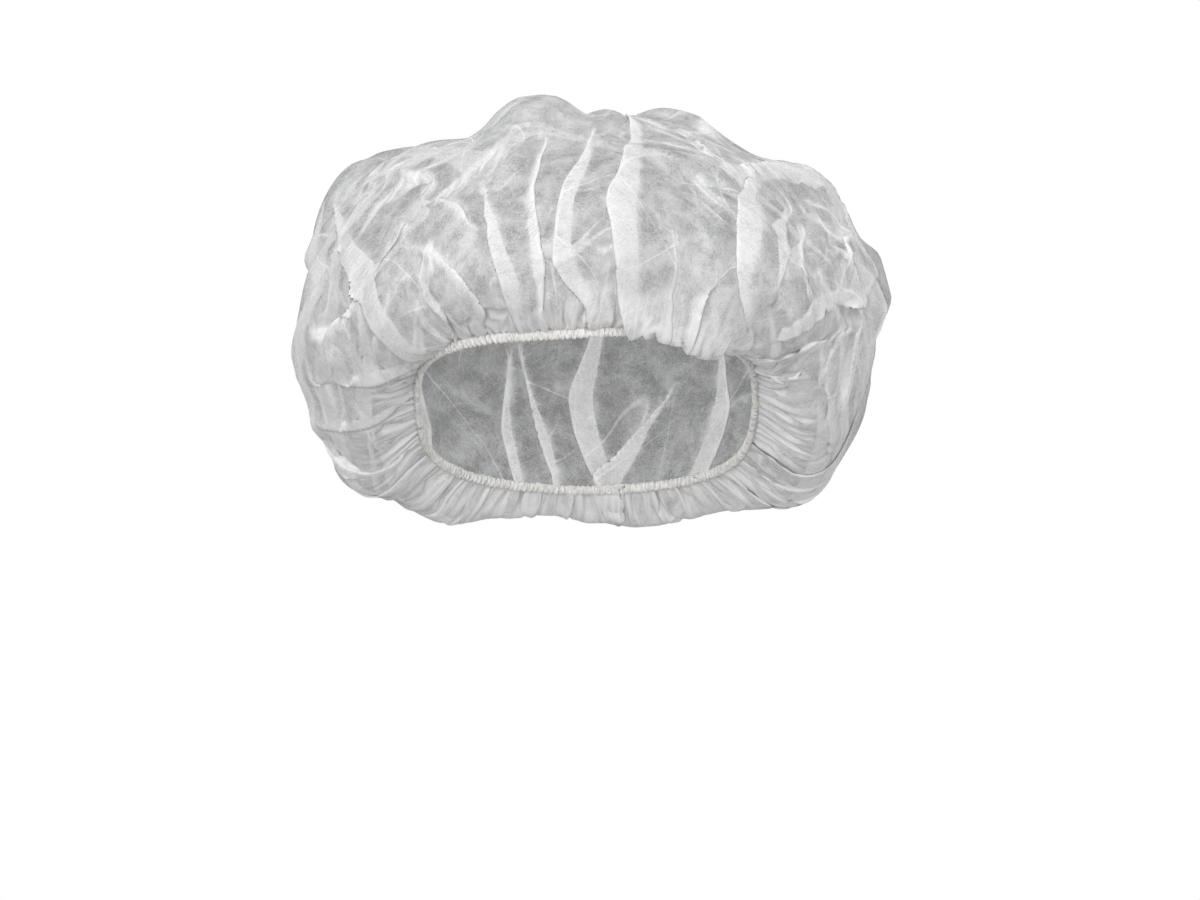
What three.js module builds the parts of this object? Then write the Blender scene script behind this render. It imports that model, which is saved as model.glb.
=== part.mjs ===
// Disposable bouffant cap, puffed out as it is when worn: one round sheet of thin white nonwoven cloth,
// gathered at its edge onto a narrow ring of elastic.
// Millimetres, +Z up. The origin is the middle of the head opening, the wearer faces -Y, and +X is on
// the right of someone who looks at the wearer. An azimuth is 0 at the forehead, 90 at +X and 180 at the nape.
import * as THREE from 'three';

// Plan of the head opening, a rounded oval with the elastic's inner face on it.
const OPENING = { halfWidth: 75, halfDepth: 93, squareness: 2.35 };

// The gathered elastic ring: its height, its thickness outwards, and the rounding of its corners.
const BAND = { height: 5, thickness: 3, corner: 0.6 };

// The cloth wall, how far short of the ring its edge stops, and the steps of the mesh.
const CLOTH = { wall: 1.2, seatGap: 0.5, around: 96, along: 20 };

// The crown's middle, where all meridians meet.
const CROWN = { x: -6, y: 8, up: 130 };

// Meridians of the puffed cap. hemUp is the ring's height, and each Out and Up pair is a point that the cloth
// passes, counted outwards and upwards from the origin: the droop under the hem, the widest place, the shoulder.
const MERIDIANS = [
  { azimuth: 0, hemUp: 37, droopOut: 103, droopUp: 47, wideOut: 116, wideUp: 78, shoulderOut: 82, shoulderUp: 121 },
  { azimuth: 30, hemUp: 36, droopOut: 105, droopUp: 40, wideOut: 125, wideUp: 70, shoulderOut: 88, shoulderUp: 118 },
  { azimuth: 60, hemUp: 26, droopOut: 107, droopUp: 22, wideOut: 135, wideUp: 58, shoulderOut: 96, shoulderUp: 112 },
  { azimuth: 90, hemUp: 4, droopOut: 110, droopUp: -14, wideOut: 134, wideUp: 44, shoulderOut: 100, shoulderUp: 106 },
  { azimuth: 120, hemUp: -18, droopOut: 122, droopUp: -38, wideOut: 138, wideUp: 36, shoulderOut: 100, shoulderUp: 104 },
  { azimuth: 150, hemUp: -32, droopOut: 121, droopUp: -50, wideOut: 142, wideUp: 34, shoulderOut: 100, shoulderUp: 104 },
  { azimuth: 180, hemUp: -37, droopOut: 114, droopUp: -53, wideOut: 140, wideUp: 32, shoulderOut: 98, shoulderUp: 106 },
  { azimuth: 210, hemUp: -32, droopOut: 118, droopUp: -50, wideOut: 140, wideUp: 32, shoulderOut: 98, shoulderUp: 108 },
  { azimuth: 240, hemUp: -18, droopOut: 117, droopUp: -39, wideOut: 136, wideUp: 30, shoulderOut: 98, shoulderUp: 110 },
  { azimuth: 270, hemUp: 3, droopOut: 110, droopUp: -16, wideOut: 132, wideUp: 32, shoulderOut: 104, shoulderUp: 108 },
  { azimuth: 300, hemUp: 25, droopOut: 106, droopUp: 18, wideOut: 132, wideUp: 46, shoulderOut: 98, shoulderUp: 112 },
  { azimuth: 330, hemUp: 36, droopOut: 104, droopUp: 40, wideOut: 124, wideUp: 66, shoulderOut: 88, shoulderUp: 118 },
];

// Puffs and dents. Each is centred on a place near the cloth, fades out at about reach from it, and pushes the
// cloth outwards by push, or inwards where push is below 0.
const PUFFS = [
  { name: 'left crown puff', x: -24, y: -26, z: 134, reach: 28, push: 19 },
  { name: 'right crown puff', x: 36, y: -14, z: 130, reach: 34, push: 13 },
  { name: 'dent between the crown puffs', x: 5, y: -44, z: 132, reach: 14, push: -7 },
  { name: 'dent left of the crown puffs', x: -58, y: -10, z: 125, reach: 22, push: -3 },
  { name: 'dent right of the crown puffs', x: 76, y: -6, z: 118, reach: 14, push: -4 },
  { name: 'left shoulder puff', x: -106, y: -6, z: 102, reach: 26, push: 6 },
  { name: 'left temple puff', x: -126, y: -6, z: 84, reach: 14, push: 4 },
  { name: 'right shoulder puff', x: 100, y: -4, z: 106, reach: 20, push: 8 },
  { name: 'left waist dent', x: -130, y: -6, z: 60, reach: 13, push: -5 },
  { name: 'left lower puff', x: -132, y: 4, z: 28, reach: 26, push: 5 },
  { name: 'dent over the left ear', x: -124, y: 16, z: -4, reach: 14, push: -5 },
  { name: 'right knob', x: 134, y: 0, z: 62, reach: 12, push: 10 },
  { name: 'right lower puff', x: 122, y: 22, z: -8, reach: 22, push: 5 },
  { name: 'dent behind the right ear', x: 118, y: 28, z: -16, reach: 13, push: -6 },
  { name: 'nape puff', x: 0, y: 138, z: 4, reach: 50, push: 5 },
  { name: 'dent at the back of the crown', x: -26, y: 84, z: 112, reach: 30, push: -7 },
  { name: 'puff at the back of the crown', x: 44, y: 72, z: 118, reach: 30, push: 6 },
];

// Main folds. Each is a ridge that runs from azimuth at the hem to azimuth + drift at the crown, over the
// stretch from..to of the meridian, halfWidth to each side. rise is its height, and below 0 it is a furrow.
const FOLDS = [
  { azimuth: 2, drift: 9, from: 0, to: 0.92, halfWidth: 15, rise: 8 },
  { azimuth: 17, drift: 8, from: 0.02, to: 0.74, halfWidth: 12, rise: -7 },
  { azimuth: 40, drift: -4, from: 0.02, to: 0.8, halfWidth: 15, rise: 7 },
  { azimuth: 58, drift: 6, from: 0.04, to: 0.7, halfWidth: 14, rise: -7 },
  { azimuth: 76, drift: 10, from: 0.06, to: 0.76, halfWidth: 15, rise: 6 },
  { azimuth: 102, drift: -10, from: 0.04, to: 0.62, halfWidth: 15, rise: -7 },
  { azimuth: 122, drift: 4, from: 0.02, to: 0.78, halfWidth: 16, rise: 7 },
  { azimuth: 146, drift: -6, from: 0.04, to: 0.7, halfWidth: 15, rise: -7 },
  { azimuth: 166, drift: 8, from: 0.02, to: 0.82, halfWidth: 16, rise: 7 },
  { azimuth: 190, drift: -8, from: 0.04, to: 0.72, halfWidth: 15, rise: -7 },
  { azimuth: 212, drift: 6, from: 0.02, to: 0.8, halfWidth: 16, rise: 7 },
  { azimuth: 236, drift: -4, from: 0.04, to: 0.66, halfWidth: 15, rise: -7 },
  { azimuth: 256, drift: 8, from: 0.04, to: 0.6, halfWidth: 14, rise: 6 },
  { azimuth: 276, drift: -6, from: 0.06, to: 0.7, halfWidth: 14, rise: -5 },
  { azimuth: 306, drift: -26, from: 0.02, to: 0.86, halfWidth: 15, rise: 8 },
  { azimuth: 327, drift: -8, from: 0.02, to: 0.8, halfWidth: 13, rise: -7 },
  { azimuth: 347, drift: 4, from: 0, to: 0.72, halfWidth: 13, rise: 6 },
];

// The even gathers that fan out from the hem, and how far they sway off their even spacing.
const GATHERS = { count: 24, rise: 2.4, to: 0.6, swayDegrees: 4, swayCount: 5 };

const radians = THREE.MathUtils.degToRad;

// Degrees from one azimuth to another by the short way, from -180 to 180.
function turnBetween(from, to) {
  return THREE.MathUtils.euclideanModulo(to - from + 180, 360) - 180;
}

// Unit vector in plan that points outwards at an azimuth.
function outwards(azimuth) {
  return new THREE.Vector3(Math.sin(radians(azimuth)), -Math.cos(radians(azimuth)), 0);
}

// A smooth hump that is 1 at the middle and 0 from one reach away.
function hump(distance, reach) {
  const share = Math.min(Math.abs(distance) / reach, 1);
  return (1 - share * share) ** 2;
}

// The cubic that passes its two middle values, with slopes taken from the outer two.
function cubic(before, start, end, after, t) {
  const slopeIn = (end - before) / 2;
  const slopeOut = (after - start) / 2;
  const t2 = t * t;
  const t3 = t2 * t;
  return (2 * t3 - 3 * t2 + 1) * start + (t3 - 2 * t2 + t) * slopeIn
    + (3 * t2 - 2 * t3) * end + (t3 - t2) * slopeOut;
}

// One column of the meridian table at any azimuth, smooth all the way round.
function meridianValue(column, azimuth) {
  const count = MERIDIANS.length;
  const place = THREE.MathUtils.euclideanModulo(azimuth, 360) / (360 / count);
  const row = Math.floor(place);
  const value = (step) => MERIDIANS[(row + step + count) % count][column];
  return cubic(value(-1), value(0), value(1), value(2), place - row);
}

// Distance from the origin's vertical line to the head opening's edge.
function openingRadius(azimuth) {
  const across = Math.abs(Math.sin(radians(azimuth))) / OPENING.halfWidth;
  const deep = Math.abs(Math.cos(radians(azimuth))) / OPENING.halfDepth;
  return (across ** OPENING.squareness + deep ** OPENING.squareness) ** (-1 / OPENING.squareness);
}

// Centre of the elastic ring at an azimuth.
function bandCentre(azimuth) {
  return outwards(azimuth)
    .multiplyScalar(openingRadius(azimuth) + BAND.thickness / 2)
    .setZ(meridianValue('hemUp', azimuth));
}

// Where the cloth starts, in the meridian's plane: clear of the ring, on the line that leads to the droop.
function hemPoint(azimuth, droop) {
  const ring = new THREE.Vector2(openingRadius(azimuth) + BAND.thickness / 2, meridianValue('hemUp', azimuth));
  const leaving = droop.clone().sub(ring).normalize();
  const ringReach = (Math.abs(leaving.x) * BAND.thickness + Math.abs(leaving.y) * BAND.height) / 2;
  return ring.addScaledVector(leaving, ringReach + CLOTH.seatGap);
}

// The middle of the cloth wall at an azimuth, from the hem (0) to the crown (1), before puffs and folds.
function meridianPoint(azimuth, along) {
  const column = (name) => meridianValue(name, azimuth);
  const droop = new THREE.Vector2(column('droopOut'), column('droopUp'));
  const shoulder = new THREE.Vector2(column('shoulderOut'), column('shoulderUp'));
  const curve = new THREE.SplineCurve([
    hemPoint(azimuth, droop),
    droop,
    new THREE.Vector2(column('wideOut'), column('wideUp')),
    shoulder,
    new THREE.Vector2(0, CROWN.up),
    new THREE.Vector2(-shoulder.x, shoulder.y),
  ]);
  const spans = curve.points.length - 1;
  const { x: out, y: up } = curve.getPoint((along * (spans - 1)) / spans);
  const point = outwards(azimuth).multiplyScalar(out).setZ(up);
  const towardsCrown = THREE.MathUtils.smoothstep(along, 0.45, 1);
  return point.add(new THREE.Vector3(CROWN.x, CROWN.y, 0).multiplyScalar(towardsCrown));
}

// How far puffs, dents and folds move the cloth outwards at a point.
function relief(point, azimuth, along) {
  const puffs = PUFFS.reduce((sum, puff) => {
    const away = point.distanceTo(new THREE.Vector3(puff.x, puff.y, puff.z)) / puff.reach;
    return sum + puff.push * Math.exp(-away * away);
  }, 0);
  const out = Math.hypot(point.x, point.y);
  const folds = FOLDS.reduce((sum, fold) => {
    const middle = (fold.from + fold.to) / 2;
    const reach = (fold.to - fold.from) / 2;
    const crest = fold.azimuth + fold.drift * along;
    const aside = radians(turnBetween(crest, azimuth)) * out;
    return sum + fold.rise * hump(aside, fold.halfWidth) * hump(along - middle, reach);
  }, 0);
  return puffs + folds + gather(azimuth, along);
}

// The even gathers' share of that move: waves round the cap that start at the hem and fade out above it.
function gather(azimuth, along) {
  const swayed = azimuth + GATHERS.swayDegrees * Math.sin(radians(GATHERS.swayCount * azimuth));
  const wave = Math.cos(radians(GATHERS.count * swayed));
  return GATHERS.rise * wave * hump(2 * along - GATHERS.to, GATHERS.to);
}

// The middle of the cloth wall: a grid of points, one row for each step from the hem towards the crown.
function clothGrid() {
  const azimuths = Array.from({ length: CLOTH.around }, (_, i) => (360 * i) / CLOTH.around);
  const rows = Array.from({ length: CLOTH.along }, (_, j) => j / CLOTH.along);
  const smooth = rows.map((along) => azimuths.map((azimuth) => meridianPoint(azimuth, along)));
  const normals = gridNormals(smooth);
  return smooth.map((row, j) => row.map((point, i) => (
    point.clone().addScaledVector(normals[j][i], relief(point, azimuths[i], rows[j]))
  )));
}

// Outward normals of a grid that closes on itself round the cap and ends at the crown.
function gridNormals(grid) {
  const crown = crownPoint();
  return grid.map((row, j) => row.map((_, i) => {
    const around = row[(i + 1) % row.length].clone().sub(row.at(i - 1));
    const above = j + 1 < grid.length ? grid[j + 1][i] : crown;
    const along = above.clone().sub(grid[Math.max(j - 1, 0)][i]);
    return around.cross(along).normalize();
  }));
}

// The crown's middle, halfway through the wall.
function crownPoint() {
  return new THREE.Vector3(CROWN.x, CROWN.y, CROWN.up);
}

// Triangles of a strip of quads between two rings of points, each ring closed on itself.
function ringStrip(firstRing, secondRing, count) {
  return Array.from({ length: count }, (_, i) => {
    const next = (i + 1) % count;
    const [a, b] = [firstRing + i, firstRing + next];
    const [c, d] = [secondRing + next, secondRing + i];
    return [a, b, c, a, c, d];
  }).flat();
}

// Triangles of a fan that closes a ring at a single point, in the ring's own direction.
function ringFan(ring, tip, count) {
  return Array.from({ length: count }, (_, i) => [ring + i, ring + ((i + 1) % count), tip]).flat();
}

// A geometry from points and triangles, shaded smooth.
function meshOf(points, triangles) {
  const geometry = new THREE.BufferGeometry().setFromPoints(points);
  geometry.setIndex(triangles);
  geometry.computeVertexNormals();
  return geometry;
}

// The cloth as a hollow wall: an outer and an inner skin half a wall to each side of its middle, joined at the hem.
function crownGeometry() {
  const middle = clothGrid();
  const normals = gridNormals(middle);
  const halfWall = CLOTH.wall / 2;
  const skin = (offset) => middle.flatMap((row, j) => row.map((point, i) => (
    point.clone().addScaledVector(normals[j][i], offset)
  )));
  const tip = (offset) => crownPoint().setZ(CROWN.up + offset);
  const points = [...skin(halfWall), ...skin(-halfWall), tip(halfWall), tip(-halfWall)];
  const skinSize = CLOTH.around * CLOTH.along;
  const outerCrown = 2 * skinSize;
  const innerCrown = outerCrown + 1;

  const triangles = [];
  for (let j = 0; j + 1 < CLOTH.along; j += 1) {
    const lower = j * CLOTH.around;
    const upper = lower + CLOTH.around;
    triangles.push(...ringStrip(lower, upper, CLOTH.around));
    triangles.push(...ringStrip(skinSize + upper, skinSize + lower, CLOTH.around));
  }
  const lastRing = skinSize - CLOTH.around;
  triangles.push(...ringFan(lastRing, outerCrown, CLOTH.around));
  triangles.push(...ringFan(skinSize + lastRing, innerCrown, CLOTH.around).reverse());
  triangles.push(...ringStrip(skinSize, 0, CLOTH.around));
  return meshOf(points, triangles);
}

// Cross-section of the elastic ring, a rectangle with cut corners: x outwards, y upwards.
function bandSection() {
  const halfThickness = BAND.thickness / 2;
  const halfHeight = BAND.height / 2;
  const { corner } = BAND;
  const quarter = [[halfThickness, halfHeight - corner], [halfThickness - corner, halfHeight]];
  const mirrored = quarter.map(([x, y]) => [-x, y]).reverse();
  const upper = [...quarter, ...mirrored];
  const lower = upper.map(([x, y]) => [-x, -y]);
  return [...upper, ...lower].map(([x, y]) => new THREE.Vector2(x, y));
}

// The elastic ring: its section carried once round the head opening.
function bandGeometry() {
  const section = bandSection();
  const rings = section.map((corner) => Array.from({ length: CLOTH.around }, (_, i) => {
    const azimuth = (360 * i) / CLOTH.around;
    return bandCentre(azimuth)
      .addScaledVector(outwards(azimuth), corner.x)
      .setZ(meridianValue('hemUp', azimuth) + corner.y);
  }));
  const triangles = rings.flatMap((_, k) => (
    ringStrip(k * CLOTH.around, ((k + 1) % rings.length) * CLOTH.around, CLOTH.around)
  ));
  return meshOf(rings.flat(), triangles);
}

// A named piece with its own finish.
function piece(name, geometry, finish) {
  const mesh = new THREE.Mesh(geometry, new THREE.MeshStandardMaterial(finish));
  mesh.name = name;
  return mesh;
}

const cap = new THREE.Group();
cap.add(
  piece('crown', crownGeometry(), { color: 0xe4e4e6, roughness: 0.9, metalness: 0 }),
  piece('elastic_band', bandGeometry(), { color: 0xe9e5e0, roughness: 0.85, metalness: 0 }),
);

export default cap;
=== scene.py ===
"""A disposable bouffant cap: one round sheet of thin nonwoven cloth, gathered onto a narrow ruched hem."""
import logging
import math
from dataclasses import dataclass, field
from enum import Enum

import bpy
import numpy as np
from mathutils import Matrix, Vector
from mathutils.bvhtree import BVHTree
from mathutils.geometry import delaunay_2d_cdt


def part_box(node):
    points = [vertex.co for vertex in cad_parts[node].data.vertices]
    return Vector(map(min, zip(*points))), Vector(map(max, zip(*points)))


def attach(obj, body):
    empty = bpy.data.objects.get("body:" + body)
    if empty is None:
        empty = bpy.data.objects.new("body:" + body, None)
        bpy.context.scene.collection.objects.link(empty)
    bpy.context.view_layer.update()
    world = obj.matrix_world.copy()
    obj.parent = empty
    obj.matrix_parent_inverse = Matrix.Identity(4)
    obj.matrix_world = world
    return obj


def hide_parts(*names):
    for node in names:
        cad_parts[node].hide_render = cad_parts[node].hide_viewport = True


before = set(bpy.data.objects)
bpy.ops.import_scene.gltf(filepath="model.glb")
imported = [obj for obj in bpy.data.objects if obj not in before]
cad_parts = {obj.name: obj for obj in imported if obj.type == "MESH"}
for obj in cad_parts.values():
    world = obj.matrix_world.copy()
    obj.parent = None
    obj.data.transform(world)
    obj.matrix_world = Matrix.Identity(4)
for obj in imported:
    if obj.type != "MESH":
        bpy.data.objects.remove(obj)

logging.basicConfig(level=logging.INFO, format="%(message)s")
log = logging.getLogger("bouffant_cap")

MM = 0.001
UP = np.array([0.0, 0.0, 1.0])
DOWN = Vector((0.0, 0.0, -1.0))
TINY = 1e-12  # keeps a division away from zero
DRAPE_SEED, HEM_SEED, BACK_SEED, FACET_SEED = 21, 22, 23, 24
PLEAT_LAYERS = 3
NEAR_WEIGHT, OWN_WEIGHT = 0.25, 0.5  # what a neighbour and a point itself count in a mean
PUSH = 0.25  # share of a lacking distance that each of a pair of points makes up at once
PUSH_SETS = 4  # sets of second neighbours in which no point is in two pairs
WHITE = (1.0, 1.0, 1.0, 1.0)
NOISE_MIDDLE = 0.5
MIX_SHARE, MIX_FIRST, MIX_SECOND, MIX_RESULT = 0, 6, 7, 2  # a Mix node's sockets for colours
FLAT_MAP = "flat_cut"
HEM_MAP = "hem_cloth"


class Slot(Enum):
    """The record's material slots."""

    CLOTH = "nonwoven"
    HEM = "elastic"


class Lean(Enum):
    """The side of a pleat's path on which its outer edge lies."""

    LEFT = -1
    RIGHT = 1


class Mark(Enum):
    """What the sheet's mesh keeps for its material at each point."""

    CREASE = "crease"  # how sharply the cloth is folded
    SLANT = "slant"  # how much more cloth a look through it meets because it stands on edge
    LAYERED = "layered"  # how many layers lie on one another
    GATHERED = "gathered"  # how much denser the cloth is than the mesh shows
    HEM_NEAR = "hem_near"  # how near the hem is
    HEM_PLACE = "hem_place"  # where the point's meridian leaves the hem


def unit(vectors: np.ndarray) -> np.ndarray:
    """Vectors scaled to a length of 1."""
    return vectors / np.maximum(np.linalg.norm(vectors, axis=-1, keepdims=True), TINY)


def smoothstep(low: float, high: float, value: np.ndarray) -> np.ndarray:
    """A smooth rise from 0 at low to 1 at high."""
    share = np.clip((value - low) / (high - low), 0.0, 1.0)
    return share * share * (3.0 - 2.0 * share)


def turned_from(turn: np.ndarray, start: float) -> np.ndarray:
    """How far round the cap places lie from another, from -0.5 to 0.5 of a turn."""
    return (turn - start + 0.5) % 1.0 - 0.5


def cubic_weights(share: np.ndarray) -> list[np.ndarray]:
    """Weights of the four grid lines around a place, for a smooth curve through the values.

    Args:
        share: The place between the second and the third line, from 0 to 1.

    Returns:
        Four arrays of weights, shaped like share.
    """
    s2, s3 = share ** 2, share ** 3
    return [
        0.5 * (-s3 + 2 * s2 - share),
        0.5 * (3 * s3 - 5 * s2 + 2),
        0.5 * (-3 * s3 + 4 * s2 + share),
        0.5 * (s3 - s2),
    ]


def sample(grid: np.ndarray, row: np.ndarray, column: np.ndarray) -> np.ndarray:
    """Smoothly interpolated values of a grid that closes on itself along its columns.

    Args:
        grid: Values, rows by columns by components.
        row: Places along the rows, in row steps.
        column: Places along the columns, in column steps, of the same shape as row.

    Returns:
        The values at those places, with one more axis than row.
    """
    rows, columns = grid.shape[:2]
    row = np.clip(row, 0, rows - 1)
    row_low = np.minimum(np.floor(row).astype(int), rows - 2)
    column_low = np.floor(column).astype(int)
    result = np.zeros(row.shape + grid.shape[2:])
    for i, row_weight in enumerate(cubic_weights(row - row_low)):
        line = np.clip(row_low + i - 1, 0, rows - 1)
        for k, column_weight in enumerate(cubic_weights(column - column_low)):
            result += (row_weight * column_weight)[..., None] * grid[line, (column_low + k - 1) % columns]
    return result


def grid_normals(grid: np.ndarray) -> np.ndarray:
    """Unit normals of a grid, pointing out of the cap.

    Args:
        grid: Points, rows by columns by 3, closed on itself along its columns.

    Returns:
        One normal for each point.
    """
    around = np.roll(grid, -1, axis=1) - np.roll(grid, 1, axis=1)
    along = np.gradient(grid, axis=0)
    return unit(np.cross(around, along))


def blurred(grid: np.ndarray, axis: int) -> np.ndarray:
    """A grid averaged with its neighbours along an axis that closes on itself."""
    return NEAR_WEIGHT * (np.roll(grid, 1, axis=axis) + np.roll(grid, -1, axis=axis)) + OWN_WEIGHT * grid


def smooth_grid(grid: np.ndarray, passes: int) -> np.ndarray:
    """A grid with its small bumps averaged away, its first and last rows kept.

    Args:
        grid: Points, rows by columns by 3, closed on itself along its columns.
        passes: How many times each point moves to the weighted mean of its neighbours.

    Returns:
        The smoothed grid.
    """
    result = grid.copy()
    for _ in range(passes):
        around = blurred(result, axis=1)
        result[1:-1] = NEAR_WEIGHT * (around[:-2] + around[2:]) + OWN_WEIGHT * around[1:-1]
        result[0] = around[0]
    return result


@dataclass
class HeadOpening:
    """The ring of elastic that the cloth is gathered onto, as the frame has it."""

    node: str = "elastic_band"
    pull_place: float = 22 * MM  # where the cloth pulls the elastic's front up, to the right of the middle
    pull_width: float = 45 * MM
    pull: float = 3.5 * MM
    azimuth_digits: int = 2  # digits of a degree that tell the ring's sections apart
    low: np.ndarray = field(init=False)
    high: np.ndarray = field(init=False)
    line: np.ndarray = field(init=False)

    def __post_init__(self) -> None:
        """Reads the ring's centreline, evenly spaced along its length and starting at the front."""
        self.low, self.high = (np.array(corner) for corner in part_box(self.node))
        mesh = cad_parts[self.node].data
        points = np.array([vertex.co for vertex in mesh.vertices])
        azimuth = np.round(np.degrees(np.arctan2(points[:, 0], -points[:, 1])), self.azimuth_digits)
        steps = np.unique(azimuth)
        centres = np.array([points[azimuth == step].mean(axis=0) for step in steps])
        start = int(np.argmin(np.abs(steps)))
        self.line = np.roll(centres, -start, axis=0)
        away = (self.line[:, 0] - self.pull_place) / self.pull_width
        self.line[:, 2] += self.pull * np.exp(-away ** 2) * (self.line[:, 1] < 0)

    def length(self) -> float:
        """The ring's length along its centreline."""
        return float(np.linalg.norm(np.roll(self.line, -1, axis=0) - self.line, axis=1).sum())

    def at(self, share: np.ndarray) -> np.ndarray:
        """Points of the centreline.

        Args:
            share: Places round the ring, from 0 at the front to 1 back at the front.

        Returns:
            One point for each share.
        """
        closed = np.vstack([self.line, self.line[:1]])
        along = np.concatenate([[0.0], np.cumsum(np.linalg.norm(np.diff(closed, axis=0), axis=1))])
        place = (np.asarray(share) % 1.0) * along[-1]
        steps = np.interp(place, along, np.arange(len(closed)))
        return sample(self.line[None].repeat(2, axis=0), np.zeros_like(steps), steps)


@dataclass
class Facets:
    """Flat panels, a few centimetres across, that thin cloth breaks into where it is crumpled."""

    around: int = 24
    along: int = 9
    height: float = 3.4 * MM
    sink: float = -0.4  # how far the middle corner lies under the form, as a share of the height
    limits: tuple = (-2.0, 0.8)  # the lowest and the highest corner, as shares of the height
    hem_fade: float = 0.15  # share of the way from hem to crown over which the panels set in
    crown_fade: float = 0.9  # where they start to die away
    rim: float = 0.1  # how far the flat surround lies beyond the hem and the crown
    merge: float = 1e-6  # corners nearer than this are one
    jitter: float = 0.42  # how far a corner strays from its even place, as a share of a panel
    aspect: float = 3.0  # the cap's girth over its length from hem to crown

    def heights(self, rows: int, columns: int) -> np.ndarray:
        """How far the panels stand over the form.

        Args:
            rows: Grid rows from hem to crown.
            columns: Grid columns round the cap.

        Returns:
            One height for each grid point.
        """
        random = np.random.default_rng(FACET_SEED)
        stray = random.uniform(-1, 1, (self.around, self.along))
        turn = np.arange(self.around)[:, None] + stray * self.jitter
        share = (np.arange(self.along) + 0.5 + random.uniform(-1, 1, turn.shape) * self.jitter) / self.along
        rise = np.clip(random.normal(self.sink, 1.0, size=turn.shape), *self.limits) * self.height
        turn /= self.around
        rise *= smoothstep(0.0, self.hem_fade, share) * (1 - smoothstep(self.crown_fade, 1.0, share))
        corners = [
            (self.aspect * (x + turns), y, z)
            for x, y, z in zip(turn.ravel(), share.ravel(), rise.ravel()) for turns in (-1, 0, 1)
        ]
        rim_places = np.linspace(-self.aspect, 2 * self.aspect, 3 * self.around)
        corners += [(x, y, 0.0) for x in rim_places for y in (-self.rim, 1 + self.rim)]
        flat = [Vector(corner[:2]) for corner in corners]
        triangles = delaunay_2d_cdt(flat, [], [], 0, self.merge)[2]
        tree = BVHTree.FromPolygons([Vector(corner) for corner in corners], [tuple(t) for t in triangles])
        result = np.zeros((rows, columns))
        for row in range(rows):
            for column in range(columns):
                start = Vector((self.aspect * column / columns, row / (rows - 1), 1.0))
                result[row, column] = tree.ray_cast(start, DOWN)[0].z
        return result


@dataclass(frozen=True)
class Swell:
    """A place where the cap stands higher, or lower, than the smooth form."""

    centre: tuple  # in millimetres
    reach: tuple  # how far it spreads to each side, in millimetres
    rise: float  # in millimetres


SWELLS = (
    Swell(centre=(-50, -5, 120), reach=(13, 32, 60), rise=-11),
    Swell(centre=(-24, -5, 135), reach=(20, 50, 60), rise=5.5),
    Swell(centre=(8, -5, 137), reach=(18, 45, 40), rise=-1.2),
    Swell(centre=(-38, -5, 132), reach=(12, 40, 30), rise=-2),
    Swell(centre=(-68, 20, -42), reach=(20, 40, 14), rise=3),
    Swell(centre=(-72, 30, -48), reach=(35, 60, 40), rise=11),
    Swell(centre=(-120, 20, -15), reach=(25, 50, 22), rise=-2.5),
    Swell(centre=(100, 30, -35), reach=(35, 60, 40), rise=3),
    Swell(centre=(130, 10, 66), reach=(30, 28, 13), rise=8),
    Swell(centre=(138, 5, 75), reach=(14, 16, 5), rise=3.5),
    Swell(centre=(138, 5, 52), reach=(14, 16, 6), rise=3.5),
    Swell(centre=(-124, 0, 73), reach=(14, 22, 6), rise=3),
    Swell(centre=(-124, 0, 61), reach=(14, 22, 6), rise=-4),
    Swell(centre=(-121, 12, -3), reach=(14, 22, 6), rise=3.5),
    Swell(centre=(98, 0, 110), reach=(20, 45, 25), rise=4.5),
)


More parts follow.
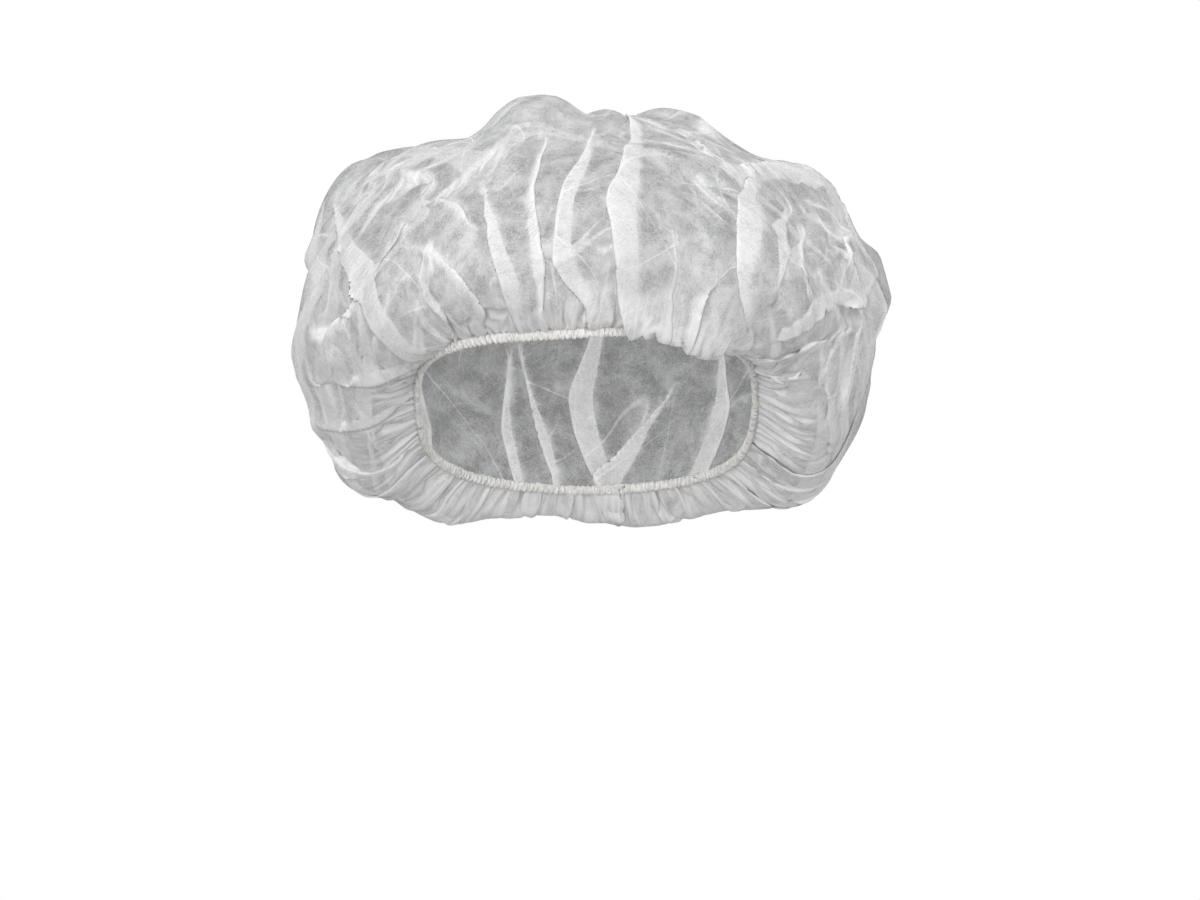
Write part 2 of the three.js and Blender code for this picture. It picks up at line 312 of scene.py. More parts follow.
@dataclass
class CapForm:
    """The smooth form that the cloth fills, read from the frame's crown as meridians from the hem up."""

    opening: HeadOpening
    facets: Facets
    node: str = "crown"
    columns: int = 192
    rows: int = 97
    crown_back: float = 30 * MM  # how far behind the opening's middle the sheet's own middle lies
    core_out: float = 12 * MM  # how far outside the ring the rays start
    roof_height: float = 113 * MM  # the rays start halfway up from the hem to here
    belly_rays: int = 90
    roof_rays: int = 60
    wall: float = 1.2 * MM
    smoothing: int = 10
    normal_smoothing: int = 2
    drop_height: float = 0.5  # where the rays down onto the roof start
    hem_fade: float = 0.15  # share of the way from hem to crown over which swells set in
    swells: tuple = SWELLS
    points: np.ndarray = field(init=False)
    normals: np.ndarray = field(init=False)

    def __post_init__(self) -> None:
        """Casts rays at the frame's crown and keeps an even, smooth grid of what they hit."""
        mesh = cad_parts[self.node].data
        mesh.calc_loop_triangles()
        vertices = [vertex.co for vertex in mesh.vertices]
        tree = BVHTree.FromPolygons(vertices, [tuple(t.vertices) for t in mesh.loop_triangles])
        hems = self.opening.at(np.arange(self.columns) / self.columns)
        middle = np.array([self.opening.low[0] + self.opening.high[0], 2 * self.crown_back]) / 2
        lines = [self._meridian(tree, hem, middle) for hem in hems]
        self.points = smooth_grid(np.stack(lines, axis=1), self.smoothing)
        self.normals = grid_normals(self.points)
        self.normals[-1] = UP
        self.points += self.normals * self.facets.heights(self.rows, self.columns)[..., None]
        for swell in self.swells:
            away = (self.points / MM - np.array(swell.centre)) / np.array(swell.reach)
            near = np.exp(-(away ** 2).sum(axis=2))
            self.points += self.normals * (swell.rise * MM * near * self._free())[..., None]
        self.normals = grid_normals(smooth_grid(self.points, self.normal_smoothing))
        self.normals[-1] = UP

    def _free(self) -> np.ndarray:
        """How freely each row may stand off the smooth form: not at all at the hem."""
        return smoothstep(0.0, self.hem_fade, np.linspace(0.0, 1.0, self.rows))[:, None]

    def _meridian(self, tree: BVHTree, hem: np.ndarray, middle: np.ndarray) -> np.ndarray:
        """One meridian of the form.

        Args:
            tree: The frame's crown.
            hem: The point on the ring where the meridian starts.
            middle: Plan position of the crown's middle.

        Returns:
            Evenly spaced points from the hem to the crown.
        """
        reach = np.linalg.norm(hem[:2] - middle)
        out = np.append((hem[:2] - middle) / reach, 0.0)
        core = np.append(middle, 0.0) + out * (reach + self.core_out)
        core[2] = 0.5 * (hem[2] + self.roof_height)
        to_hem = hem - core
        start = math.atan2(to_hem[2], to_hem @ out)
        angles = np.linspace(start, math.pi / 2, self.belly_rays + 1)[1:]
        line = [hem]
        for angle in angles:
            ray = out * math.cos(angle) + UP * math.sin(angle)
            hit = tree.ray_cast(Vector(core), Vector(ray))[0]
            if hit is not None:
                line.append(np.array(hit) + ray * self.wall / 2)
        for share in np.linspace(1.0, 0.0, self.roof_rays + 1)[1:]:
            above = np.append(middle, 0.0) + out * (reach + self.core_out) * share + UP * self.drop_height
            hit = tree.ray_cast(Vector(above), DOWN)[0]
            line.append(np.array(hit) - UP * self.wall / 2)
        return even_line(np.array(line), self.rows)

    def at(self, share: np.ndarray, column: np.ndarray) -> np.ndarray:
        """Points of the form.

        Args:
            share: Places along the meridians, from 0 at the hem to 1 at the crown.
            column: Places round the cap, from 0 to 1.

        Returns:
            The points, with one more axis than share.
        """
        return sample(self.points, share * (self.rows - 1), column * self.columns)

    def normal_at(self, share: np.ndarray, column: np.ndarray) -> np.ndarray:
        """Unit normals at the same kind of places as at() takes."""
        return unit(sample(self.normals, share * (self.rows - 1), column * self.columns))


def even_line(line: np.ndarray, count: int) -> np.ndarray:
    """Points spaced evenly along a polyline.

    Args:
        line: The polyline's points.
        count: How many points to return, both ends included.

    Returns:
        The spaced points.
    """
    along = np.concatenate([[0.0], np.cumsum(np.linalg.norm(np.diff(line, axis=0), axis=1))])
    places = np.linspace(0.0, along[-1], count)
    return np.stack([np.interp(places, along, values) for values in line.T], axis=1)


@dataclass(frozen=True)
class FlatCut:
    """The round sheet as it was cut, before it was gathered."""

    diameter: float = 610 * MM
    edge_density: float = 0.6  # the first row's height over the mean row's

    def inwards(self, rows: int) -> np.ndarray:
        """Each row's distance from the edge as a share of the radius, closer together near the edge."""
        step = np.arange(rows) / rows
        return self.edge_density * step + (1 - self.edge_density) * step ** 2

    def row_at(self, share: np.ndarray) -> np.ndarray:
        """The row, as a share of all rows, that lies this share of the way inwards."""
        even, growing = self.edge_density, 1 - self.edge_density
        return (np.sqrt(even ** 2 + 4 * growing * np.maximum(share, 0.0)) - even) / (2 * growing)

    def radii(self, rows: int) -> np.ndarray:
        """Each row's distance from the centre."""
        return self.diameter / 2 * (1 - self.inwards(rows))

    def steps(self, rows: int, columns: int) -> np.ndarray:
        """Each row's distance from one column to the next."""
        return 2 * self.radii(rows) * math.sin(math.pi / columns)

    def spare(self, laid: np.ndarray, share: np.ndarray) -> np.ndarray:
        """Metres of cloth for each metre of a ring that it is laid on, this share of the way inwards."""
        return math.pi * self.diameter * (1 - share) / laid


@dataclass(frozen=True)
class Pleat:
    """A fold that lies flat, three layers thick, along a path over the cap."""

    path: tuple  # stops: degrees round the cap, share of the way from hem to crown, width in millimetres
    lean: Lean


FRONT_PLEATS = (
    Pleat(lean=Lean.LEFT, path=((14, 0.01, 12), (11, 0.08, 12.6), (9, 0.2, 14.4), (8, 0.31, 18),
        (10, 0.36, 15), (16, 0.56, 12), (27, 0.78, 11))),
    Pleat(lean=Lean.LEFT, path=((2, 0.06, 7), (-2, 0.11, 11), (-5, 0.18, 12.6), (-5, 0.27, 11),
        (-4, 0.34, 12.6), (0, 0.45, 7), (4, 0.64, 1))),
    Pleat(lean=Lean.RIGHT, path=((350, 0.06, 4), (350, 0.13, 8), (350, 0.2, 9), (348, 0.28, 9),
        (347, 0.36, 8), (348, 0.43, 4.6), (348, 0.53, 3), (338, 0.63, 1))),
    Pleat(lean=Lean.LEFT, path=((344, 0.07, 9), (343, 0.17, 13), (340, 0.25, 11.5), (337, 0.32, 7),
        (332, 0.4, 1))),
    Pleat(lean=Lean.RIGHT, path=((332, 0.33, 2), (332, 0.42, 3), (336, 0.51, 1))),
    Pleat(lean=Lean.RIGHT, path=((337, 0.26, 3), (330, 0.32, 8), (321, 0.36, 3))),
    Pleat(lean=Lean.RIGHT, path=((334, 0.05, 4), (335, 0.13, 8), (332, 0.2, 9), (324, 0.24, 5),
        (314, 0.3, 2))),
    Pleat(lean=Lean.RIGHT, path=((322, 0.05, 3), (324, 0.11, 5), (324, 0.17, 5), (319, 0.23, 1))),
    Pleat(lean=Lean.LEFT, path=((310, 0.07, 10), (311, 0.14, 15), (308, 0.24, 15), (301, 0.34, 13),
        (288, 0.46, 9), (273, 0.54, 4))),
    Pleat(lean=Lean.RIGHT, path=((319, 0.07, 3), (319, 0.19, 4), (317, 0.24, 3), (314, 0.29, 3))),
    Pleat(lean=Lean.RIGHT, path=((314, 0.29, 2), (316, 0.32, 5), (314, 0.36, 4), (302, 0.47, 1))),
    Pleat(lean=Lean.RIGHT, path=((275, 0.55, 2), (299, 0.5, 4), (314, 0.45, 7), (320, 0.42, 3))),
    Pleat(lean=Lean.LEFT, path=((320, 0.28, 2), (320, 0.34, 9), (312, 0.44, 3))),
    Pleat(lean=Lean.RIGHT, path=((305, 0.25, 3), (295, 0.25, 9), (286, 0.27, 5))),
    Pleat(lean=Lean.LEFT, path=((294, 0.17, 2), (295, 0.22, 4), (293, 0.27, 1))),
    Pleat(lean=Lean.LEFT, path=((304, 0.05, 8), (296, 0.11, 13), (284, 0.18, 12), (273, 0.23, 5))),
    Pleat(lean=Lean.LEFT, path=((280, 0.02, 4), (278, 0.06, 7), (273, 0.13, 9), (259, 0.2, 6))),
    Pleat(lean=Lean.RIGHT, path=((254, 0.02, 2), (253, 0.04, 5), (256, 0.09, 7), (257, 0.14, 5),
        (258, 0.21, 0.5))),
    Pleat(lean=Lean.RIGHT, path=((22, 0.03, 3), (21, 0.11, 5), (20, 0.22, 4), (21, 0.32, 1))),
    Pleat(lean=Lean.RIGHT, path=((28, 0.27, 1), (27, 0.34, 3), (26, 0.44, 3), (26, 0.57, 1))),
    Pleat(lean=Lean.LEFT, path=((38, 0.45, 2), (35, 0.51, 5), (39, 0.65, 4))),
    Pleat(lean=Lean.RIGHT, path=((27, 0.06, 7), (27, 0.15, 9), (31, 0.2, 2))),
    Pleat(lean=Lean.LEFT, path=((42, 0.11, 5), (35, 0.18, 9), (35, 0.24, 14), (37, 0.3, 16),
        (41, 0.38, 16), (45, 0.46, 9))),
    Pleat(lean=Lean.RIGHT, path=((42, 0.17, 4), (42, 0.22, 8), (43, 0.28, 9), (50, 0.37, 8),
        (62, 0.46, 2))),
    Pleat(lean=Lean.LEFT, path=((51, 0.22, 2), (50, 0.26, 6), (57, 0.34, 7), (64, 0.43, 2))),
    Pleat(lean=Lean.RIGHT, path=((56, 0.26, 2), (62, 0.34, 6), (71, 0.44, 2))),
    Pleat(lean=Lean.LEFT, path=((66, 0.33, 2), (73, 0.41, 6), (88, 0.54, 2))),
    Pleat(lean=Lean.LEFT, path=((38, 0.45, 5), (51, 0.5, 13), (76, 0.58, 16), (87, 0.58, 12),
        (92, 0.53, 3))),
    Pleat(lean=Lean.RIGHT, path=((48, 0.12, 8), (54, 0.2, 12), (72, 0.3, 12), (93, 0.43, 5))),
    Pleat(lean=Lean.LEFT, path=((52, 0.07, 7), (62, 0.15, 12), (73, 0.24, 9), (81, 0.32, 2))),
    Pleat(lean=Lean.LEFT, path=((66, 0.02, 5), (67, 0.09, 7), (72, 0.14, 3), (75, 0.2, 0.5))),
    Pleat(lean=Lean.RIGHT, path=((73, 0.14, 3), (81, 0.15, 8), (91, 0.15, 10), (104, 0.14, 4))),
    Pleat(lean=Lean.LEFT, path=((122, 0.02, 8), (121, 0.07, 9), (119, 0.13, 4), (117, 0.2, 0.5))),
)


@dataclass
class BackPleats:
    """Pleats of the back, spread by chance within limits."""

    first: float = 112.0  # degrees
    last: float = 256.0
    count: int = 14
    widths: tuple = (6.0, 17.0)  # in millimetres
    lowest: tuple = (0.01, 0.12)  # where a pleat starts, as a share of the way from hem to crown
    length: tuple = (0.3, 0.6)
    highest: float = 0.78
    sway: float = 4.0  # degrees that a stop strays from the straight path
    start_width: float = 0.7  # its width at the hem's end over its width halfway
    end_width: float = 1.0  # in millimetres

    def table(self) -> tuple:
        """Makes the pleats, the same ones in each run.

        Returns:
            The pleats.
        """
        random = np.random.default_rng(BACK_SEED)
        pleats = []
        for azimuth in np.linspace(self.first, self.last, self.count):
            low = random.uniform(*self.lowest)
            high = min(low + random.uniform(*self.length), self.highest)
            shares = (low, 0.5 * (low + high), high)
            turns = azimuth + random.normal(0.0, self.sway, size=len(shares))
            width = random.uniform(*self.widths)
            path = tuple(zip(turns, shares, (self.start_width * width, width, self.end_width)))
            pleats.append(Pleat(path=path, lean=Lean(int(random.choice((-1, 1))))))
        return tuple(pleats)


@dataclass
class Places:
    """Where the grid's points lie on the form, and how they are layered there."""

    share: np.ndarray  # of the way from hem to crown
    turn: np.ndarray  # of the way round the cap, from the middle of the front
    rise: np.ndarray  # height over the form that the layers of a pleat need
    pleated: np.ndarray  # 1 inside a pleat, 0 away from them


@dataclass
class Pleating:
    """Folds the pleats into the sheet by sliding its points over the form."""

    form: CapForm
    cut: FlatCut
    pleats: tuple
    gap: float = 1.3 * MM  # from layer to layer
    reach: float = 26 * MM  # how far beside a pleat the cloth is drawn in
    far_reaches: float = 4.0  # beyond so many reaches that can be left out
    path_steps: int = 14
    blend: float = 1.2 * MM
    full_width: float = 3 * MM  # a narrower pleat stands lower
    least_width: float = 0.001 * MM
    least_girth: float = 20 * MM  # near the crown's middle the girth counts as at least this
    spare_length: float = 1.25  # length of cloth for each metre of a meridian, where a pleat lies across it
    least_spare: float = 1.25  # the same round the cap, where the flat cut leaves less
    hem_share: float = 0.1  # a pleat that starts below this runs on to the hem
    end_fade: float = 0.07  # share of a pleat's length over which it fades out at an end
    tries: int = 5  # rounds of the search for a place before it was drawn in
    ring_lengths: np.ndarray = field(init=False)
    length: float = field(init=False)
    ready: list = field(init=False)

    def __post_init__(self) -> None:
        """Measures the form, then finds each path as it has to be before the later pleats draw it in."""
        points = self.form.points
        self.ring_lengths = np.linalg.norm(np.roll(points, -1, axis=1) - points, axis=2).sum(axis=1)
        self.length = float(np.linalg.norm(np.diff(points, axis=0), axis=2).sum(axis=0).mean())
        self.ready = []
        for pleat in reversed(self.pleats):
            path = self._even_path(pleat)
            for later, _ in self.ready:
                wanted = path[:, :2].T
                found = wanted.copy()
                for _ in range(self.tries):
                    found = wanted - self._drawn(later, found)
                path[:, :2] = found.T
            self.ready.append((path, pleat.lean))
        self.ready.reverse()

    def fold(self, share: np.ndarray, turn: np.ndarray) -> Places:
        """Slides points into the pleats one pleat after the other.

        Args:
            share: The points' places along the meridians.
            turn: Their places round the cap.

        Returns:
            Where they come to lie.
        """
        places = Places(share.copy(), turn.copy(), np.zeros_like(share), np.zeros_like(share))
        for path, lean in self.ready:
            self._lay(path, lean, places)
        return places

    def _even_path(self, pleat: Pleat) -> np.ndarray:
        """A pleat's stops, spaced evenly and run on to the hem where it starts near it.

        Args:
            pleat: The pleat.

        Returns:
            Turns round the cap, share of the way to the crown and width in metres, one row for each stop.
        """
        stops = np.array(pleat.path, float)
        if stops[0, 1] < self.hem_share:
            stops = np.vstack([stops[0] - np.array([0.0, self.hem_share + stops[0, 1], 0.0]), stops])
        stops[:, 0] = np.unwrap(stops[:, 0], period=360.0) / 360.0
        stops[:, 2] *= MM
        return even_line(stops, self.path_steps)

    def _girth(self, share: np.ndarray) -> np.ndarray:
        """How long one turn round the form is at these shares of the way to the crown."""
        girth = np.interp(share, np.linspace(0, 1, self.form.rows), self.ring_lengths)
        return np.maximum(girth, self.least_girth)

    def _beside(self, path: np.ndarray, turn: np.ndarray, share: np.ndarray) -> tuple:
        """How places lie beside a path.

        Args:
            path: The path, as _even_path() gives it.
            turn: The places round the cap.
            share: The places along the meridians.

        Returns:
            Metres from the path, less than 0 to its left; the pleat's width there; the cloth's length for
            each metre across the pleat; the direction across it; and metres for each turn and for the whole
            meridian.
        """
        scale = (self._girth(share), self.length)
        middle = path[:, 0].mean()
        place = (turned_from(turn, middle) + middle, share)
        best = np.full(turn.shape, np.inf)
        side, progress = np.zeros_like(best), np.zeros_like(best)
        across = np.zeros((2,) + turn.shape)
        for step, (low, high) in enumerate(zip(path[:-1], path[1:])):
            to_low = [(low[k] - place[k]) * scale[k] for k in (0, 1)]
            run = [(high[k] - low[k]) * scale[k] for k in (0, 1)]
            size = np.maximum(run[0] ** 2 + run[1] ** 2, TINY)
            part = np.clip(-(to_low[0] * run[0] + to_low[1] * run[1]) / size, 0.0, 1.0)
            away = [to_low[k] + part * run[k] for k in (0, 1)]
            far = np.hypot(*away)
            closer = far < best
            direction = np.stack(np.broadcast_arrays(run[1], -run[0])) / np.sqrt(size)
            best[closer] = far[closer]
            progress[closer] = (step + part[closer]) / (len(path) - 1)
            across[:, closer] = direction[:, closer]
            sign = -np.sign(away[0] * direction[0] + away[1] * direction[1])
            side[closer] = (sign * far)[closer]
        width = np.interp(progress, np.linspace(0, 1, len(path)), path[:, 2])
        width = width * smoothstep(0.0, self.end_fade, 1 - progress)
        if path[0, 1] > 0:
            width = width * smoothstep(0.0, self.end_fade, progress)
        spare = np.maximum(self.cut.spare(scale[0], share), self.least_spare)
        spare = np.hypot(across[0] * spare, across[1] * self.spare_length)
        return side, np.maximum(width, self.least_width), spare, across, scale

    def _drawn(self, path: np.ndarray, places: np.ndarray) -> np.ndarray:
        """How far a pleat draws the cloth beside it in.

        Args:
            path: The pleat's path, as _even_path() gives it.
            places: Turns round the cap and shares of the way to the crown.

        Returns:
            The moves, in turns and shares.
        """
        side, width, spare, across, scale = self._beside(path, *places)
        edge = PLEAT_LAYERS / 2 * width / spare
        far = np.abs(side)
        shift = (edge - width / 2) * np.minimum(far / edge, np.exp(-np.maximum(far - edge, 0.0) / self.reach))
        return -np.sign(side) * shift * across / np.stack(np.broadcast_arrays(*scale))

    def _lay(self, path: np.ndarray, lean: Lean, places: Places) -> None:
        """Slides the points beside one pleat.

        Args:
            path: The pleat's path.
            lean: The side on which its outer edge lies.
            places: The points' places, changed where the pleat is.
        """
        near = np.abs(turned_from(places.turn, path[:, 0].mean()))
        chosen = near < np.ptp(path[:, 0]) / 2 + self.far_reaches * self.reach / self._girth(places.share)
        side, width, spare, across, scale = self._beside(path, places.turn[chosen], places.share[chosen])
        moved, level, inside = z_fold(side, width, spare, self.reach, self.blend)
        slide = across * (moved - side)
        places.turn[chosen] += slide[0] / scale[0]
        places.share[chosen] += slide[1] / scale[1]
        full = smoothstep(0.0, self.full_width, width)
        places.rise[chosen] += level * full * self.gap * lean.value
        places.pleated[chosen] = np.maximum(places.pleated[chosen], inside * full)


def z_fold(side: np.ndarray, width: np.ndarray, spare: np.ndarray, reach: float, blend: float) -> tuple:
    """Folds a line of cloth into three layers.

    Args:
        side: Places on the line before the fold, in metres from its middle.
        width: How far the layers overlap.
        spare: Length of cloth for each metre of the line.
        reach: How far beside the fold the cloth is drawn in.
        blend: How soft the fold's edge is in the mask.

    Returns:
        The places after the fold, the height of the layers from 1, outermost, to -1, and a mask of the fold.
    """
    edge = PLEAT_LAYERS / 2 * width / spare
    inner = edge / PLEAT_LAYERS
    sign, far = np.sign(side), np.abs(side)
    beside = far - (edge - width / 2) * np.exp(-(far - edge) / reach)
    outer = -width / 2 + spare * (far - inner)
    moved = np.where(far <= inner, -spare * far, np.where(far <= edge, outer, beside)) * sign
    falling = np.clip((edge - far) / (edge - inner), 0.0, 1.0)
    level = -sign * np.where(far <= inner, far / inner, falling)
    return moved, level, 1.0 - smoothstep(-blend, 0.0, far - edge)


@dataclass(frozen=True)
class Level:
    """One pass of the drape: a grid, how long it relaxes, and what it may do."""

    columns: int
    rows: int
    rounds: int
    noise: float  # height of the random start, in millimetres
    spare: float  # share of the spare cloth that is let in
    pleated: bool


LEVELS = (
    Level(columns=96, rows=15, rounds=160, noise=3.0, spare=0.45, pleated=False),
    Level(columns=192, rows=30, rounds=120, noise=1.0, spare=0.6, pleated=False),
    Level(columns=384, rows=60, rounds=60, noise=0.1, spare=0.9, pleated=True),
    Level(columns=768, rows=120, rounds=90, noise=0.05, spare=0.95, pleated=True),
)


@dataclass
class Drape:
    """Lays the flat sheet over the form: cloth that can't stretch, whose spare width buckles into folds."""

    form: CapForm
    cut: FlatCut
    pleating: Pleating
    front_slack: float = 0.05  # spare length along the meridians at the front
    side_slack: float = 0.08  # the same at the sides, above what the front and the back have
    back_slack: float = 0.09  # the same at the back
    edge_spare: float = 0.4  # share of the spare width that shows right at the hem
    fold_depth: float = 9 * MM  # how far folds may sink below the form
    fold_rise: float = 1.2 * MM  # how far they may stand above it
    hem_depth: float = 1.6 * MM  # the same limit at the hem
    depth_growth: float = 0.3  # how fast the limit grows with the distance from the hem
    puff: float = 0.02 * MM  # push outwards in each round
    stiffness: float = 0.9
    diagonal_share: float = 0.5  # stiffness along the diagonals over that along the threads
    hem_hold: float = 0.3  # share of the way back to the ring that the edge moves in each round
    tightest_fold: float = 0.5  # least distance of second neighbours round the cap, as a share of the cloth's
    straightness: float = 0.97  # the same along the meridians
    hem_lift: float = 1.9 * MM  # how far above the ring's middle the cloth leaves the hem
    hem_fade: float = 0.12  # share of the way from hem to crown over which the hem's own rules fade out
    grain_fade: float = 0.15  # the same for the random start
    overhang_turn: float = 26 / 360  # where the bag hangs over the hem, as a share of a turn
    overhang_width: float = 20 / 360
    overhang_full: float = 0.3  # share of that width over which it hangs in full
    overhang_rows: tuple = (0.035, 0.05, 0.15)  # shares of the way to the crown: full from, full to, and gone
    overhang_drop: float = 8 * MM
    overhang_out: float = 0.4  # how far it stands out, as a share of how far it drops
    cascade: float = 3.0  # cells from the hem over which a level's folds set in
    drift: float = 15 * MM  # how far a point may slide from its place
    hem_drift: float = 1 * MM  # how far one may at the hem
    front_calm: float = 0.78  # share of the buckling that the front lacks, as its pleats take up the cloth
    back_calm: float = 0.8  # the same for the sides and the back
    front_from: float = 0.10  # where the front gives way to the side, in turns from its middle
    front_to: float = 0.18
    crown_calm: tuple = (0.7, 0.95)  # where the folds die away towards the middle of the crown
    hem_zone: float = 35 * MM  # width of cloth beside the hem in which folds grow to their depth
    points: np.ndarray = field(init=False)
    base: np.ndarray = field(init=False)
    normal: np.ndarray = field(init=False)
    places: Places = field(init=False)

    def run(self) -> None:
        """Drapes the sheet on one grid after another, from the coarsest to the finest."""
        random = np.random.default_rng(DRAPE_SEED)
        moved = None
        for number, level in enumerate(LEVELS):
            share, turn = self._grid(level)
            if number:
                old = LEVELS[number - 1]
                shift = self.points - self.base
            self.places = Places(share, turn, 0 * share, 0 * share)
            if level.pleated:
                self.places = self.pleating.fold(share, turn)
            if number:
                new_folds = level.pleated and not old.pleated
                where = (self.places.share, self.places.turn) if new_folds else (share, turn)
                moved = sample(shift, self.cut.row_at(where[0]) * old.rows, where[1] * old.columns)
                if new_folds:
                    moved *= 1 - self._calmed(*where)[..., None]
            self._set_base(share, turn)
            self.points = self.base.copy() if moved is None else self.base + moved
            grain = blurred(random.normal(size=(level.rows, level.columns, 1)), axis=0)
            shown = smoothstep(0.0, self.grain_fade, share)[..., None]
            self.points += self.normal * grain * level.noise * MM * shown
            self._relax(level)
        self.points[1:] = smooth_grid(self.points, 1)[1:]
        self.points += (self.base - self.points) * smoothstep(*self.crown_calm, share)[..., None]

    def _set_base(self, share: np.ndarray, turn: np.ndarray) -> None:
        """Finds where the sheet lies before it buckles, lifted off the ring at the hem and hanging over it.

        Args:
            share: The grid points' places along the meridians, before any pleat.
            turn: Their places round the cap.
        """
        self.base = self.form.at(self.places.share, self.places.turn)
        self.normal = self.form.normal_at(self.places.share, self.places.turn)
        self.base += self.normal * self.places.rise[..., None]
        self.base[..., 2] += self.hem_lift * (1 - smoothstep(0.0, self.hem_fade, share))
        away = np.abs(turned_from(turn, self.overhang_turn)) / self.overhang_width
        full_from, full_to, gone = self.overhang_rows
        hanging = (1 - smoothstep(self.overhang_full, 1.0, away)) * smoothstep(0.0, full_from, share)
        hanging *= 1 - smoothstep(full_to, gone, share)
        self.base[..., 2] -= self.overhang_drop * hanging
        self.base += self.normal * (self.overhang_out * self.overhang_drop * hanging)[..., None]

    def _calmed(self, share: np.ndarray, turn: np.ndarray) -> np.ndarray:
        """How much of the buckling is left out, which is none of it right at the hem.

        Args:
            share: Places along the meridians.
            turn: Places round the cap.

        Returns:
            The share that is left out at each place.
        """
        front = 1 - smoothstep(self.front_from, self.front_to, np.abs(turned_from(turn, 0.0)))
        calm = self.back_calm + (self.front_calm - self.back_calm) * front
        return calm * smoothstep(0.0, self.hem_fade, share)

    def _grid(self, level: Level) -> tuple[np.ndarray, np.ndarray]:
        """Each grid point's place along its meridian and round the cap, before any pleat."""
        share = self.cut.inwards(level.rows)[:, None] + np.zeros((1, level.columns))
        return share, np.arange(level.columns)[None] / level.columns + 0 * share

    def _rests(self, level: Level) -> tuple[np.ndarray, np.ndarray]:
        """Cloth lengths of the grid's steps round the cap and along the meridians.

        Args:
            level: The grid.

        Returns:
            The lengths round the cap, rows by columns, and along it, one row fewer.
        """
        share, turn = self._grid(level)
        laid = self.form.at(share, turn)
        flat = self.cut.steps(level.rows, level.columns)
        around = np.linalg.norm(np.roll(laid, -1, axis=1) - laid, axis=2)
        spare = np.maximum(flat[:, None] / around, 1.0)
        inside = self.cut.diameter / 2 - self.cut.radii(level.rows)
        shown = smoothstep(0.0, self.cascade * flat[0], inside)[:, None]
        shown = (self.edge_spare + (1 - self.edge_spare) * shown) * level.spare
        shown = shown * (1 - self._calmed(share, turn))
        back = np.sin(math.pi * turn[:-1]) ** 2
        slack = self.front_slack + (self.back_slack - self.front_slack) * back
        slack += self.side_slack * np.sin(2 * math.pi * turn[:-1]) ** 2
        along = np.linalg.norm(np.diff(laid, axis=0), axis=2) * (1 + slack)
        return around * (1 + (spare - 1) * shown), along

    def _relax(self, level: Level) -> None:
        """Moves the grid's points until the cloth has its own lengths again.

        Args:
            level: The grid.
        """
        points, base, normal = self.points, self.base, self.normal
        around, along = self._rests(level)
        across = [np.sqrt(((around[:-1] + around[1:]) / 2) ** 2 + along ** 2)] * 2
        pleated = self.places.pleated
        laid_around, laid_along, laid_right, laid_left = (
            np.linalg.norm(other - start, axis=2) for start, other in (
                (base, np.roll(base, -1, axis=1)),
                (base[:-1], base[1:]),
                (base[:-1], np.roll(base[1:], -1, axis=1)),
                (base[:-1], np.roll(base[1:], 1, axis=1)),
            )
        )
        around = np.maximum(around, laid_around) * (1 - pleated) + laid_around * pleated
        pleated = pleated[:-1]
        along = np.maximum(along, laid_along) * (1 - pleated) + laid_along * pleated
        across = [
            plain * (1 - pleated) + laid * pleated
            for plain, laid in zip(across, (laid_right, laid_left))
        ]
        inside = (self.cut.diameter / 2 - self.cut.radii(level.rows))[:, None]
        growth = self.depth_growth * inside ** 2 / (inside + self.hem_zone)
        deepest = np.minimum(self.hem_depth + growth, self.fold_depth)
        highest = np.minimum(self.hem_depth + growth, self.fold_rise)
        drift = self.drift * smoothstep(0.0, self.hem_zone, inside) + self.hem_drift
        for _ in range(level.rounds):
            points += normal * self.puff
            pull_around(points, around, self.stiffness)
            pull_along(points, along, 0, self.stiffness)
            pull_along(points, across[0], 1, self.diagonal_share * self.stiffness)
            pull_along(points, across[1], -1, self.diagonal_share * self.stiffness)
            keep_open(points, around, self.tightest_fold)
            keep_straight(points, along, self.straightness)
            height = ((points - base) * normal).sum(axis=2)
            wanted = np.clip(height, -deepest, highest)
            points += normal * (wanted - height)[..., None]
            sideways = points - base
            sideways -= normal * (sideways * normal).sum(axis=2, keepdims=True)
            excess = np.linalg.norm(sideways, axis=2, keepdims=True) - drift[..., None]
            points -= unit(sideways) * np.maximum(excess, 0.0)
            points[0] += self.hem_hold * (base[0] - points[0])


def pull(first: np.ndarray, second: np.ndarray, rest: np.ndarray, stiffness: float) -> np.ndarray:
    """Half the move that brings pairs of points to their own distance.

    Args:
        first: Points that the move is added to.
        second: As many points that it is taken from.
        rest: The distance that each pair should have.
        stiffness: Share of the error that is mended.

    Returns:
        One move for each pair.
    """
    apart = second - first
    length = np.maximum(np.linalg.norm(apart, axis=-1), TINY)
    return apart * (0.5 * stiffness * (1.0 - rest / length))[..., None]


def push(first: np.ndarray, second: np.ndarray, least: np.ndarray) -> np.ndarray:
    """The move that brings pairs of points apart where they are nearer than they can be.

    Args:
        first: Points that the move is added to.
        second: As many points that it is taken from.
        least: The least distance that each pair can have.

    Returns:
        One move for each pair, which is none where they are far enough apart.
    """
    apart = second - first
    length = np.maximum(np.linalg.norm(apart, axis=-1), TINY)
    return apart * (PUSH * np.minimum(1.0 - least / length, 0.0))[..., None]


def pull_around(points: np.ndarray, rest: np.ndarray, stiffness: float) -> None:
    """Brings neighbours in each row to their cloth distance, in place.

    Args:
        points: The sheet.
        rest: Cloth distances, one for each point.
        stiffness: Share of the error that is mended.
    """
    for start in (0, 1):
        first = np.arange(start, points.shape[1], 2)
        second = (first + 1) % points.shape[1]
        move = pull(points[:, first], points[:, second], rest[:, first], stiffness)
        points[:, first] += move
        points[:, second] -= move


